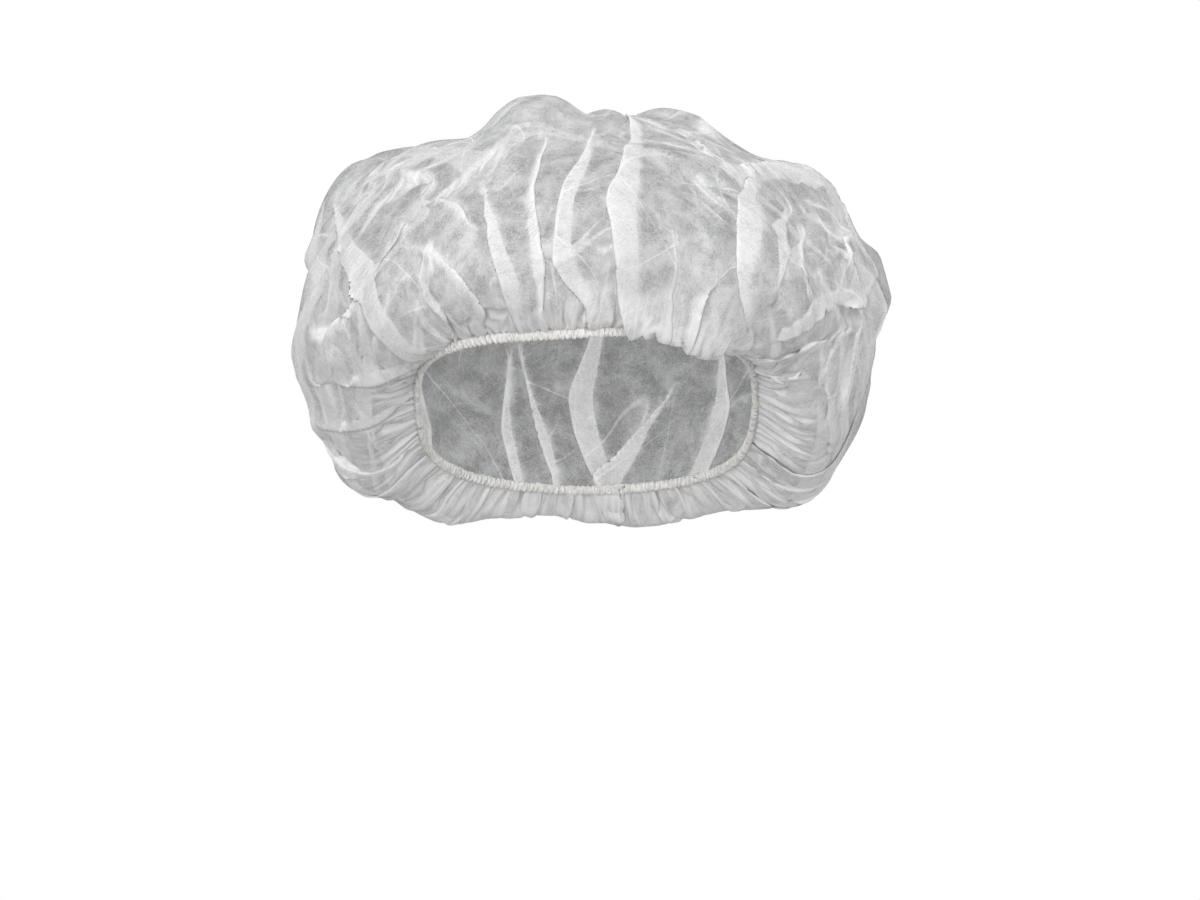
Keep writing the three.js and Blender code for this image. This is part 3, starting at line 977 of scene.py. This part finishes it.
def pull_along(points: np.ndarray, rest: np.ndarray, turn: int, stiffness: float) -> None:
    """Brings neighbours in adjoining rows to their cloth distance, in place.

    Args:
        points: The sheet.
        rest: Cloth distances, one row fewer than the sheet.
        turn: How many columns further the neighbour lies: 0, or 1 or -1 for a diagonal.
        stiffness: Share of the error that is mended.
    """
    for start in (0, 1):
        lower = points[start:-1:2]
        upper = np.roll(points[start + 1::2], -turn, axis=1)
        count = min(len(lower), len(upper))
        move = pull(lower[:count], upper[:count], rest[start::2][:count], stiffness)
        points[start:-1:2][:count] += move
        points[start + 1::2][:count] -= np.roll(move, turn, axis=1)


def keep_open(points: np.ndarray, rest: np.ndarray, least: float) -> None:
    """Pushes second neighbours in each row apart where the cloth folds more tightly than it can, in place.

    Args:
        points: The sheet.
        rest: Cloth distances round the cap, one for each point.
        least: The least distance of second neighbours, as a share of the cloth between them.
    """
    columns = points.shape[1]
    for start in range(PUSH_SETS):
        first = np.arange(start, columns, PUSH_SETS)
        second = (first + 2) % columns
        span = least * (rest[:, first] + rest[:, (first + 1) % columns])
        move = push(points[:, first], points[:, second], span)
        points[:, first] += move
        points[:, second] -= move


def keep_straight(points: np.ndarray, rest: np.ndarray, least: float) -> None:
    """Pushes second neighbours along the meridians apart where a fold would bend across its run, in place.

    Args:
        points: The sheet.
        rest: Cloth distances along the meridians, one row fewer than the sheet.
        least: The least distance of second neighbours, as a share of the cloth between them.
    """
    for start in range(PUSH_SETS):
        first = np.arange(start, points.shape[0] - 2, PUSH_SETS)
        span = least * (rest[first] + rest[first + 1])
        move = push(points[first], points[first + 2], span)
        points[first] += move
        points[first + 2] -= move


def link(name: str, points: np.ndarray, faces: list | np.ndarray) -> bpy.types.Object:
    """A new mesh object in the scene.

    Args:
        name: The piece's name.
        points: Its vertices.
        faces: Its faces, as rows of vertex numbers.

    Returns:
        The object.
    """
    mesh = bpy.data.meshes.new(name)
    rows = faces.tolist() if isinstance(faces, np.ndarray) else faces
    mesh.from_pydata(np.asarray(points, float).tolist(), [], rows)
    mesh.validate()
    mesh.shade_smooth()
    thing = bpy.data.objects.new(name, mesh)
    bpy.context.scene.collection.objects.link(thing)
    return thing


def tube_faces(rows: int, columns: int) -> np.ndarray:
    """Quads between the rows of a grid whose columns close on themselves.

    Args:
        rows: The grid's rows.
        columns: Its columns.

    Returns:
        Four vertex numbers for each quad.
    """
    row, column = np.meshgrid(np.arange(rows - 1), np.arange(columns), indexing="ij")
    nearer = row * columns + column
    after = row * columns + (column + 1) % columns
    return np.stack([nearer, after, after + columns, nearer + columns], axis=-1).reshape(-1, 4)


def blank_material(name: str) -> bpy.types.Material:
    """A new material without any nodes.

    Args:
        name: Its name.

    Returns:
        The material.
    """
    material = bpy.data.materials.new(name)
    material.use_nodes = True
    material.node_tree.nodes.clear()
    return material


class NodeDesk:
    """Adds nodes to one node tree in few words."""

    def __init__(self, tree: bpy.types.NodeTree) -> None:
        """Keeps the tree."""
        self.tree = tree

    def add(self, kind: str, sockets: dict | None = None, **settings: object) -> bpy.types.Node:
        """Adds a node.

        Args:
            kind: The node's type name, without its ShaderNode prefix.
            sockets: What each input socket is set to or linked from, by its name or number.
            settings: The node's own settings.

        Returns:
            The node.
        """
        prefix = "" if kind.startswith("Node") else "ShaderNode"
        node = self.tree.nodes.new(prefix + kind)
        for name, value in settings.items():
            setattr(node, name, value)
        for name, value in (sockets or {}).items():
            if isinstance(value, bpy.types.NodeSocket):
                self.tree.links.new(value, node.inputs[name])
            else:
                node.inputs[name].default_value = value
        return node

    def math(self, operation: str, *values: object) -> bpy.types.NodeSocket:
        """The result of a Math node on these numbers or sockets."""
        return self.add("Math", dict(enumerate(values)), operation=operation).outputs[0]

    def mark(self, mark: Mark) -> bpy.types.NodeSocket:
        """The number that the mesh keeps under this mark."""
        return self.add("Attribute", attribute_name=mark.value).outputs["Fac"]

    def noise(self, place: bpy.types.NodeSocket, scale: float, detail: float) -> bpy.types.NodeSocket:
        """A noise's value at a place."""
        return self.add("TexNoise", {"Vector": place, "Scale": scale, "Detail": detail}).outputs["Fac"]

    def lines(self, noise: bpy.types.NodeSocket, width: float) -> bpy.types.NodeSocket:
        """Lines along which a noise crosses its middle, fading out where it is as far from that as width."""
        away = self.math("ABSOLUTE", self.math("SUBTRACT", noise, NOISE_MIDDLE))
        return self.ramp(away, 0.0, width, 1.0, 0.0)

    def turned(
        self, place: bpy.types.NodeSocket, angle: float, start: float, scale: tuple,
    ) -> bpy.types.NodeSocket:
        """A flat place turned, and then stretched.

        Args:
            place: The place's socket.
            angle: How far to turn it, in degrees.
            start: Where it starts along its own first direction.
            scale: What the turned place is multiplied by, each way.

        Returns:
            The new place's socket.
        """
        sockets = {
            "Vector": place,
            "Location": (start, 0.0, 0.0),
            "Rotation": (0.0, 0.0, math.radians(angle)),
            "Scale": (1.0 / scale[0], 1.0 / scale[1], 1.0),
        }
        return self.add("Mapping", sockets, vector_type="TEXTURE").outputs[0]

    def ramp(self, value: object, low: float, high: float, start: float, end: float) -> bpy.types.NodeSocket:
        """A value mapped smoothly from low..high to start..end."""
        sockets = {"Value": value, "From Min": low, "From Max": high, "To Min": start, "To Max": end}
        return self.add("MapRange", sockets, interpolation_type="SMOOTHSTEP").outputs["Result"]


@dataclass(frozen=True)
class FibreWeb:
    """The web of bonded filaments that nonwoven cloth is, as a shader node group."""

    name: str = "fibre_web"
    angles: tuple = (-64.0, -19.0, 26.0, 75.0)  # degrees of each filament layer from the web's run
    pitches: tuple = (1500.0, 1250.0, 1650.0, 1100.0)  # filament patterns in a metre, one for each layer
    stretch: float = 0.12  # how much more slowly the pattern changes along the filaments
    line: float = 0.12  # how far the noise may be from its middle in a filament
    ragged: float = 1.0  # detail of the filaments' noise
    cloud_pitch: float = 70.0
    cloud_detail: float = 4.0
    cloud_roughness: float = 0.6
    cloud_range: tuple = (0.3, 0.7)  # noise values of the thinnest and the densest cloth
    sway_pitch: float = 45.0
    sway: float = 8.0 * MM

    def group(self) -> bpy.types.NodeTree:
        """Builds the group once.

        Returns:
            The node group: a flat Place in metres goes in, and Filaments and Clouds from 0 to 1 come out.
        """
        tree = bpy.data.node_groups.new(self.name, "ShaderNodeTree")
        tree.interface.new_socket("Place", in_out="INPUT", socket_type="NodeSocketVector")
        tree.interface.new_socket("Filaments", in_out="OUTPUT", socket_type="NodeSocketFloat")
        tree.interface.new_socket("Clouds", in_out="OUTPUT", socket_type="NodeSocketFloat")
        desk = NodeDesk(tree)
        place = desk.add("NodeGroupInput").outputs["Place"]
        swayed = self._swayed(desk, place)
        total = None
        for angle, pitch in zip(self.angles, self.pitches):
            turned = desk.turned(swayed, angle, 0.0, (self.stretch * pitch, pitch))
            line = desk.lines(desk.noise(turned, 1.0, self.ragged), self.line)
            total = line if total is None else desk.math("ADD", total, line)
        clouds = desk.add("TexNoise", {
            "Vector": place,
            "Scale": self.cloud_pitch,
            "Detail": self.cloud_detail,
            "Roughness": self.cloud_roughness,
        })
        desk.add("NodeGroupOutput", {
            "Filaments": desk.math("MULTIPLY", total, 1 / len(self.angles)),
            "Clouds": desk.ramp(clouds.outputs["Fac"], *self.cloud_range, 0.0, 1.0),
        })
        return tree

    def _swayed(self, desk: NodeDesk, place: bpy.types.NodeSocket) -> bpy.types.NodeSocket:
        """The flat place moved a little this way and that, so that no filament runs quite straight.

        Args:
            desk: The desk of the group's tree.
            place: The flat place.

        Returns:
            The moved place.
        """
        wave = desk.add("TexNoise", {"Vector": place, "Scale": self.sway_pitch, "Detail": 0.0})
        middle = (NOISE_MIDDLE, NOISE_MIDDLE, NOISE_MIDDLE)
        centred = desk.add("VectorMath", {0: wave.outputs["Color"], 1: middle}, operation="SUBTRACT")
        sway = desk.add("VectorMath", {0: centred.outputs[0], "Scale": 2 * self.sway}, operation="SCALE")
        return desk.add("VectorMath", {0: place, 1: sway.outputs[0]}).outputs[0]


@dataclass(frozen=True)
class ClothFinish:
    """Thin white nonwoven: see-through between its filaments, whiter where layers and creases gather."""

    colour: tuple = (0.785, 0.787, 0.788)
    roughness: float = 0.85
    specular: float = 0.2
    sheen: float = 0.15
    thin: float = 0.09  # how solid the thinnest places are
    most_solid: float = 0.95
    cloud_share: float = 0.22
    filament_share: float = 0.29
    fold_share: float = 0.42  # how much more solid a sharp fold's edge is
    layered_share: float = 1.7  # how much denser a pleat's layers are
    crease_share: float = 0.26
    crease_pitch: float = 34.0
    crease_width: float = 0.35 * MM
    crease_stretch: float = 0.15  # how much more slowly the crease pattern changes along the creases
    crease_breaks: float = 1.9  # how much more finely the creases break off than they lie
    crease_limits: tuple = (0.55, 0.68)  # noise values from none of a crease to all of it
    crease_angles: tuple = (38.0, -55.0, 84.0)
    gather_share: float = 0.5
    gather_pitch: float = 520.0
    gather_limits: tuple = (0.42, 0.62)  # noise values from the valley to the ridge of a gather
    ragged: float = 1.0  # detail of the gathers' noise
    bump: float = 0.2 * MM
    bump_strength: float = 0.6

    def material(self, web: bpy.types.NodeTree) -> bpy.types.Material:
        """The cloth's material.

        Args:
            web: The fibre web group.

        Returns:
            The material.
        """
        material = blank_material("nonwoven_cloth")
        desk = NodeDesk(material.node_tree)
        place = desk.add("UVMap", uv_map=FLAT_MAP).outputs["UV"]
        fibres = desk.add("Group", {"Place": place}, node_tree=web)
        creases = self._creases(desk, place)
        gathers = self._gathers(desk)
        folds = desk.math("MULTIPLY", desk.mark(Mark.CREASE), self.fold_share)
        solid = desk.math("MULTIPLY_ADD", fibres.outputs["Clouds"], self.cloud_share, self.thin)
        solid = desk.math("MULTIPLY_ADD", fibres.outputs["Filaments"], self.filament_share, solid)
        solid = desk.math("ADD", solid, desk.math("MULTIPLY_ADD", creases, self.crease_share, folds))
        solid = desk.math("MULTIPLY_ADD", gathers, self.gather_share, solid)
        solid = desk.math("MINIMUM", solid, self.most_solid)
        density = desk.math("MULTIPLY_ADD", desk.mark(Mark.LAYERED), self.layered_share, 1.0)
        density = desk.math("MULTIPLY", desk.mark(Mark.SLANT), density)
        density = desk.math("MULTIPLY", density, desk.mark(Mark.GATHERED))
        clear = desk.math("POWER", desk.math("SUBTRACT", 1.0, solid), density)
        height = desk.math("ADD", fibres.outputs["Filaments"], desk.math("ADD", creases, gathers))
        relief = desk.add("Bump", {"Height": height, "Distance": self.bump, "Strength": self.bump_strength})
        face = desk.add("BsdfPrincipled", {
            "Base Color": (*self.colour, 1.0),
            "Roughness": self.roughness,
            "Specular IOR Level": self.specular,
            "Sheen Weight": self.sheen,
            "Alpha": desk.math("SUBTRACT", 1.0, clear),
            "Normal": relief.outputs["Normal"],
        })
        desk.add("OutputMaterial", {"Surface": face.outputs[0]})
        return material

    def _creases(self, desk: NodeDesk, place: bpy.types.NodeSocket) -> bpy.types.NodeSocket:
        """Thin straight creases left over from packing.

        Args:
            desk: The desk of the material's tree.
            place: The flat place.

        Returns:
            Their mask.
        """
        total = None
        for angle in self.crease_angles:
            scale = (self.crease_stretch * self.crease_pitch, self.crease_pitch)
            turned = desk.turned(place, angle, angle, scale)
            line = desk.lines(desk.noise(turned, 1.0, 0.0), self.crease_width * self.crease_pitch)
            some = desk.ramp(desk.noise(turned, self.crease_breaks, 0.0), *self.crease_limits, 0.0, 1.0)
            line = desk.math("MULTIPLY", line, some)
            total = line if total is None else desk.math("MAXIMUM", total, line)
        return total

    def _gathers(self, desk: NodeDesk) -> bpy.types.NodeSocket:
        """Fine folds that run up from the hem.

        Args:
            desk: The desk of the material's tree.

        Returns:
            Their mask.
        """
        start = desk.add("Attribute", attribute_name=Mark.HEM_PLACE.value).outputs["Vector"]
        lines = desk.noise(start, self.gather_pitch, self.ragged)
        ridges = desk.ramp(lines, *self.gather_limits, 0.0, 1.0)
        return desk.math("MULTIPLY", desk.mark(Mark.HEM_NEAR), ridges)


@dataclass(frozen=True)
class HemFinish:
    """The ruched hem: the same cloth in several layers, so it's solid, and slightly warm from its elastic,
    with painted shade in the valleys of its wrinkles.
    """

    colour: tuple = (0.82, 0.813, 0.795)
    # painted shade: the colour of the wrinkles' valleys, darker than the cloth's own colour
    painted_valley_shade: tuple = (0.66, 0.65, 0.63)
    roughness: float = 0.9
    ruche_pitch: float = 750.0  # wrinkles in a metre of hem
    ruche_stretch: float = 0.22
    ruche_limits: tuple = (0.36, 0.60)  # noise values of a wrinkle's valley and its ridge
    painted_ruche_shading: float = 0.8  # how much of the way from the painted shade to the colour a ridge is painted lighter
    cloud_tone: float = 0.3
    filament_height: float = 0.2  # height of the filaments over that of the wrinkles
    ragged: float = 1.0  # detail of the wrinkles' noise
    bump: float = 0.5 * MM

    def material(self, web: bpy.types.NodeTree) -> bpy.types.Material:
        """The hem's material.

        Args:
            web: The fibre web group.

        Returns:
            The material.
        """
        material = blank_material("ruched_hem")
        desk = NodeDesk(material.node_tree)
        place = desk.add("UVMap", uv_map=HEM_MAP).outputs["UV"]
        fibres = desk.add("Group", {"Place": place}, node_tree=web)
        scale = (self.ruche_pitch, self.ruche_stretch * self.ruche_pitch, 1.0)
        drawn = desk.add("Mapping", {"Vector": place, "Scale": scale}).outputs[0]
        # painted shade: the wrinkles' ridges are painted lighter and their valleys darker, besides the
        # ridges' real bump; the clouds add the cloth's own uneven tone
        ridge = desk.ramp(desk.noise(drawn, 1.0, self.ragged), *self.ruche_limits, 0.0, 1.0)
        ridges = desk.math("MULTIPLY", ridge, self.painted_ruche_shading)
        painted_shade_and_cloud_tone = desk.math("MULTIPLY_ADD", fibres.outputs["Clouds"], self.cloud_tone, ridges)
        colour = desk.add("Mix", {
            MIX_SHARE: desk.math("MINIMUM", painted_shade_and_cloud_tone, 1.0),
            MIX_FIRST: (*self.painted_valley_shade, 1.0),
            MIX_SECOND: (*self.colour, 1.0),
        }, data_type="RGBA")
        height = desk.math("MULTIPLY_ADD", fibres.outputs["Filaments"], self.filament_height, ridge)
        relief = desk.add("Bump", {"Height": height, "Distance": self.bump})
        face = desk.add("BsdfPrincipled", {
            "Base Color": colour.outputs[MIX_RESULT],
            "Roughness": self.roughness,
            "Normal": relief.outputs["Normal"],
        })
        desk.add("OutputMaterial", {"Surface": face.outputs[0]})
        return material


def crease_strength(points: np.ndarray, limits: tuple) -> np.ndarray:
    """How sharply the sheet is folded at each grid point, from 0, flat, to 1, a hard crease.

    Args:
        points: The sheet, rows by columns by 3, closed on itself along its columns.
        limits: The turns, in degrees, at which a fold starts to count and at which it is hard.

    Returns:
        One number for each point.
    """
    def turn(before: np.ndarray, after: np.ndarray) -> np.ndarray:
        """How far the direction turns from one step to the next, in radians."""
        return np.arccos(np.clip((unit(before) * unit(after)).sum(axis=-1), -1.0, 1.0))

    step = np.roll(points, -1, axis=1) - points
    bend = turn(np.roll(step, 1, axis=1), step)
    rise = np.diff(points, axis=0)
    bend[1:-1] = np.maximum(bend[1:-1], turn(rise[:-1], rise[1:]))
    return smoothstep(math.radians(limits[0]), math.radians(limits[1]), bend)


def count_layers(points: np.ndarray, normals: np.ndarray, reach: float, step: float) -> np.ndarray:
    """How many more layers of the sheet lie over and under each of its points.

    Args:
        points: The sheet, rows by columns by 3.
        normals: The directions to look along, both ways.
        reach: How far to look.
        step: How far past a layer the look for the next one starts.

    Returns:
        One count for each point.
    """
    rows, columns = points.shape[:2]
    tree = BVHTree.FromPolygons(points.reshape(-1, 3).tolist(), tube_faces(rows, columns).tolist())
    counts = np.zeros(rows * columns)
    for number, (point, normal) in enumerate(zip(points.reshape(-1, 3), normals.reshape(-1, 3))):
        for way in (Vector(normal), Vector(-normal)):
            start, left = Vector(point) + way * step, reach
            while left > 0:
                hit, _, _, away = tree.ray_cast(start, way, left)
                if hit is None:
                    break
                counts[number] += 1
                start, left = hit + way * step, left - away - step
    return counts.reshape(rows, columns)


@dataclass
class Crown:
    """The folded sheet."""

    drape: Drape
    finish: ClothFinish = ClothFinish()
    crease_limits: tuple = (16.0, 75.0)  # degrees of turn at which a fold starts to count and is hard
    least_upright: float = 0.45  # keeps cloth that stands on edge from looking too dense
    layer_reach: float = 4.5 * MM  # layers further off than this don't count
    layer_step: float = 0.25 * MM  # nor do layers as near as this
    most_layers: float = 2.0  # more layers than this look no denser
    least_step: float = 0.1 * MM  # the grid's steps count as at least this long in the gathers
    gathered_limits: tuple = (0.8, 3.0)  # how much denser cloth may be where it is finely gathered
    gathered_smoothing: int = 4
    hem_zone: tuple = (0.01, 0.14)  # where the fine gathers beside the hem fade out

    def build(self, web: bpy.types.NodeTree) -> bpy.types.Object:
        """Drapes the sheet, makes its mesh, with the flat cut as its map, and dresses it.

        Args:
            web: The fibre web group.

        Returns:
            The sheet.
        """
        self.drape.run()
        sheet = self._mesh()
        self._map(sheet)
        self._mark(sheet)
        sheet.data.materials.append(self.finish.material(web))
        return sheet

    def _mesh(self) -> bpy.types.Object:
        """The draped grid as a mesh, closed at the crown by a fan.

        Returns:
            The sheet.
        """
        points = self.drape.points
        rows, columns = points.shape[:2]
        rim = (rows - 1) * columns + np.arange(columns)
        fan = np.stack([rim, np.roll(rim, -1), np.full(columns, rows * columns)], axis=1)
        vertices = np.vstack([points.reshape(-1, 3), points[-1].mean(axis=0)])
        return link("crown_sheet", vertices, tube_faces(rows, columns).tolist() + fan.tolist())

    def _map(self, sheet: bpy.types.Object) -> None:
        """Maps the mesh onto the flat cut, in metres from its middle.

        Args:
            sheet: The sheet.
        """
        rows, columns = self.drape.points.shape[:2]
        angle = 2 * math.pi * np.arange(columns) / columns
        radii = self.drape.cut.radii(rows)[:, None]
        flat = np.stack([radii * np.sin(angle), -radii * np.cos(angle)], axis=-1).reshape(-1, 2)
        flat = np.vstack([flat, [[0.0, 0.0]]])
        corners = np.zeros(len(sheet.data.loops), np.int32)
        sheet.data.loops.foreach_get("vertex_index", corners)
        layer = sheet.data.uv_layers.new(name=FLAT_MAP)
        layer.data.foreach_set("uv", flat[corners].astype(np.float32).ravel())

    def _mark(self, sheet: bpy.types.Object) -> None:
        """Keeps in the mesh what its material has to know at each point.

        Args:
            sheet: The sheet.
        """
        points, cut = self.drape.points, self.drape.cut
        rows, columns = points.shape[:2]
        upright = np.abs((grid_normals(points) * self.drape.normal).sum(axis=2))
        layers = count_layers(points, self.drape.normal, self.layer_reach, self.layer_step)
        layers = smooth_grid(layers[..., None], 1)
        shown = np.linalg.norm(np.roll(points, -1, axis=1) - points, axis=2)
        gathered = cut.steps(rows, columns)[:, None] / np.maximum(shown, self.least_step)
        gathered = smooth_grid(gathered[..., None], self.gathered_smoothing)
        share = cut.inwards(rows)[:, None] + np.zeros((1, columns))
        numbers = {
            Mark.CREASE: crease_strength(points, self.crease_limits),
            Mark.SLANT: 1.0 / np.maximum(upright, self.least_upright),
            Mark.LAYERED: np.clip(layers / self.most_layers, 0.0, 1.0),
            Mark.GATHERED: np.clip(gathered, *self.gathered_limits),
            Mark.HEM_NEAR: 1 - smoothstep(*self.hem_zone, share),
        }
        for mark, values in numbers.items():
            attribute = sheet.data.attributes.new(mark.value, "FLOAT", "POINT")
            values = np.append(values.ravel(), values[-1].mean())
            attribute.data.foreach_set("value", values.astype(np.float32))
        starts = np.vstack([np.tile(self.drape.base[0], (rows, 1)), points[-1].mean(axis=0)])
        attribute = sheet.data.attributes.new(Mark.HEM_PLACE.value, "FLOAT_VECTOR", "POINT")
        attribute.data.foreach_set("vector", starts.astype(np.float32).ravel())


@dataclass
class Hem:
    """The cloth's edge, folded over the elastic and ruched by it."""

    opening: HeadOpening
    finish: HemFinish = HemFinish()
    columns: int = 1440
    sides: int = 14
    height: float = 4.3 * MM
    thickness: float = 2.8 * MM
    stand_out: float = 0.8 * MM  # how far the hem's middle lies outside the ring's
    ruffle_pitch: float = 2.6 * MM
    ruffle: float = 0.45 * MM
    broad_share: float = 0.6  # how much of the ruffle's height is in its broad waves
    fine_share: float = 0.4
    fine_waves: float = 2.3  # fine waves for each broad one
    askew: float = 1.3  # how far the waves run askew over the hem, in radians
    bowed: float = 0.5  # how far they bow, in radians
    drift_phase: float = 1.2  # how far the waves stray along the hem, in radians
    drift_waves: float = 60.0  # how smoothly they stray: more is smoother

    def build(self, web: bpy.types.NodeTree) -> bpy.types.Object:
        """Makes the hem as a ruffled tube along the ring, and dresses it.

        Args:
            web: The fibre web group.

        Returns:
            The hem.
        """
        points = self._rings()
        faces = tube_faces(self.sides + 1, self.columns)
        hem = link("ruched_hem", points.reshape(-1, 3), faces % (self.sides * self.columns))
        side = faces // self.columns * (math.pi * self.height / self.sides)
        along = faces % self.columns / self.columns
        along[:, 1:3] = np.where(along[:, 1:3] < along[:, [0]], along[:, 1:3] + 1, along[:, 1:3])
        layer = hem.data.uv_layers.new(name=HEM_MAP)
        flat = np.stack([along * self.opening.length(), side], axis=-1)
        layer.data.foreach_set("uv", flat.astype(np.float32).ravel())
        hem.data.materials.append(self.finish.material(web))
        return hem

    def _rings(self) -> np.ndarray:
        """The tube's points, one ring round the cap for each of its sides.

        Returns:
            Sides by columns by 3.
        """
        share = np.arange(self.columns) / self.columns
        line = self.opening.at(share)
        ahead = unit(np.roll(line, -1, axis=0) - np.roll(line, 1, axis=0))
        out = unit(np.cross(ahead, UP))
        up = np.cross(out, ahead)
        line = line + out * self.stand_out
        count = round(self.opening.length() / self.ruffle_pitch)
        drift = self._drift()
        phase = 2 * math.pi * count * share + self.drift_phase * drift
        rings = []
        for angle in 2 * math.pi * np.arange(self.sides) / self.sides:
            twist = phase + self.askew * math.sin(angle) + self.bowed * math.cos(2 * angle)
            fine = np.sin(self.fine_waves * twist + drift)
            swell = self.ruffle * (self.broad_share * np.sin(twist) + self.fine_share * fine)
            across = (self.thickness / 2 + swell) * math.cos(angle)
            upright = (self.height / 2 + swell) * math.sin(angle)
            rings.append(line + out * across[:, None] + up * upright[:, None])
        return np.stack(rings)

    def _drift(self) -> np.ndarray:
        """How the ruffles stray along the hem, by chance and smoothly.

        Returns:
            One number for each column, spread by 1.
        """
        random = np.random.default_rng(HEM_SEED)
        waves = np.fft.fft(random.normal(size=self.columns))
        smooth = np.exp(-(np.fft.fftfreq(self.columns) * self.drift_waves) ** 2)
        drift = np.real(np.fft.ifft(waves * smooth))
        return drift / drift.std()


@dataclass
class Studio:
    """The camera, the light and the floor."""

    scale: float = 0.45 * MM  # metres for each pixel at the cap's outline
    distance: float = 1.6
    outline_ahead: float = 0.03  # how much nearer to the camera the outline is than the cap's middle
    sensor: float = 36.0  # in millimetres, as camera sizes are
    elevation: float = 2.0
    frame_width: int = 1200
    frame_height: int = 900
    origin_px: tuple = (586, 419)
    room_light: float = 1.03
    lamp_watts: float = 13.0
    lamp_size: float = 0.9
    lamp_place: tuple = (-0.2, -1.6, 0.3)
    behind_cloth: tuple = (0.115, 0.118, 0.12)
    see_through: int = 64  # how many layers of cloth a ray may pass
    floor_tone: float = 0.40  # how much light the floor throws back up
    floor_side: float = 8.0
    floor_height: float = -0.35

    def camera(self) -> None:
        """Stands the camera where the photograph was taken from."""
        data = bpy.data.cameras.new("camera")
        camera = bpy.data.objects.new("camera", data)
        bpy.context.scene.collection.objects.link(camera)
        lift = math.radians(self.elevation)
        aim = Vector((
            (self.frame_width / 2 - self.origin_px[0]) * self.scale,
            0.0,
            (self.origin_px[1] - self.frame_height / 2) * self.scale,
        ))
        back = Vector((0.0, -math.cos(lift), math.sin(lift)))
        camera.location = aim + back * self.distance
        camera.rotation_euler = (-back).to_track_quat("-Z", "Y").to_euler()
        data.sensor_width = self.sensor
        data.lens = self.sensor * (self.distance - self.outline_ahead) / (self.frame_width * self.scale)
        bpy.context.scene.camera = camera

    def light(self) -> None:
        """Soft white light all round, with one wide lamp over the camera and slightly to its left."""
        world = bpy.data.worlds.new("studio")
        bpy.context.scene.world = world
        world.use_nodes = True
        world.node_tree.nodes.clear()
        desk = NodeDesk(world.node_tree)
        room = desk.add("Background", {"Color": WHITE, "Strength": self.room_light})
        desk.add("OutputWorld", {"Surface": self._backdrop(desk, "Background", room.outputs[0])})
        lamp_data = bpy.data.lights.new("key", "AREA")
        lamp_data.energy = self.lamp_watts
        lamp_data.size = self.lamp_size
        lamp = bpy.data.objects.new("key", lamp_data)
        lamp.location = self.lamp_place
        lamp.rotation_euler = (-Vector(self.lamp_place)).to_track_quat("-Z", "Y").to_euler()
        bpy.context.scene.collection.objects.link(lamp)
        bpy.context.scene.view_settings.view_transform = "Standard"
        bpy.context.scene.cycles.transparent_max_bounces = self.see_through

    def floor(self) -> None:
        """A plain pale floor, well below the cap."""
        side = self.floor_side / 2
        corners = np.array([(-side, -side, 0.0), (side, -side, 0.0), (side, side, 0.0), (-side, side, 0.0)])
        floor = link("floor", corners + UP * self.floor_height, [[0, 1, 2, 3]])
        material = blank_material("pale_floor")
        desk = NodeDesk(material.node_tree)
        matt = desk.add("BsdfDiffuse", {"Color": (self.floor_tone, self.floor_tone, self.floor_tone, 1.0)})
        desk.add("OutputMaterial", {"Surface": self._backdrop(desk, "Emission", matt.outputs[0])})
        floor.data.materials.append(material)

    def _backdrop(self, desk: NodeDesk, kind: str, lit: bpy.types.NodeSocket) -> bpy.types.NodeSocket:
        """White where the camera sees it directly, grey where it shows through cloth, as a studio wall does.

        Args:
            desk: The desk of the node tree.
            kind: The shader that gives the backdrop's own light.
            lit: What all other rays meet.

        Returns:
            The shader's output.
        """
        path = desk.add("LightPath")
        through = desk.math("GREATER_THAN", path.outputs["Transparent Depth"], 0.0)
        white = desk.add(kind, {"Color": WHITE, "Strength": 1.0})
        grey = desk.add(kind, {"Color": (*self.behind_cloth, 1.0), "Strength": 1.0})
        seen = desk.add("MixShader", {0: through, 1: white.outputs[0], 2: grey.outputs[0]})
        sockets = {0: path.outputs["Is Camera Ray"], 1: lit, 2: seen.outputs[0]}
        return desk.add("MixShader", sockets).outputs[0]


def main() -> None:
    """Builds the cap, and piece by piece."""
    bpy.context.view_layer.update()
    studio = Studio()
    studio.camera()
    studio.light()
    studio.floor()
    opening = HeadOpening()
    form = CapForm(opening, Facets())
    cut = FlatCut()
    web = FibreWeb().group()
    pleating = Pleating(form, cut, FRONT_PLEATS + BackPleats().table())
    crown = Crown(Drape(form, cut, pleating)).build(web)
    log.info("%s: %d faces", crown.name, len(crown.data.polygons))
    hem = Hem(opening).build(web)
    log.info("%s: %d faces", hem.name, len(hem.data.polygons))
    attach(hem, "root")
    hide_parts("elastic_band")
    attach(crown, "root")
    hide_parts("crown")


if __name__ == "__main__":
    main()
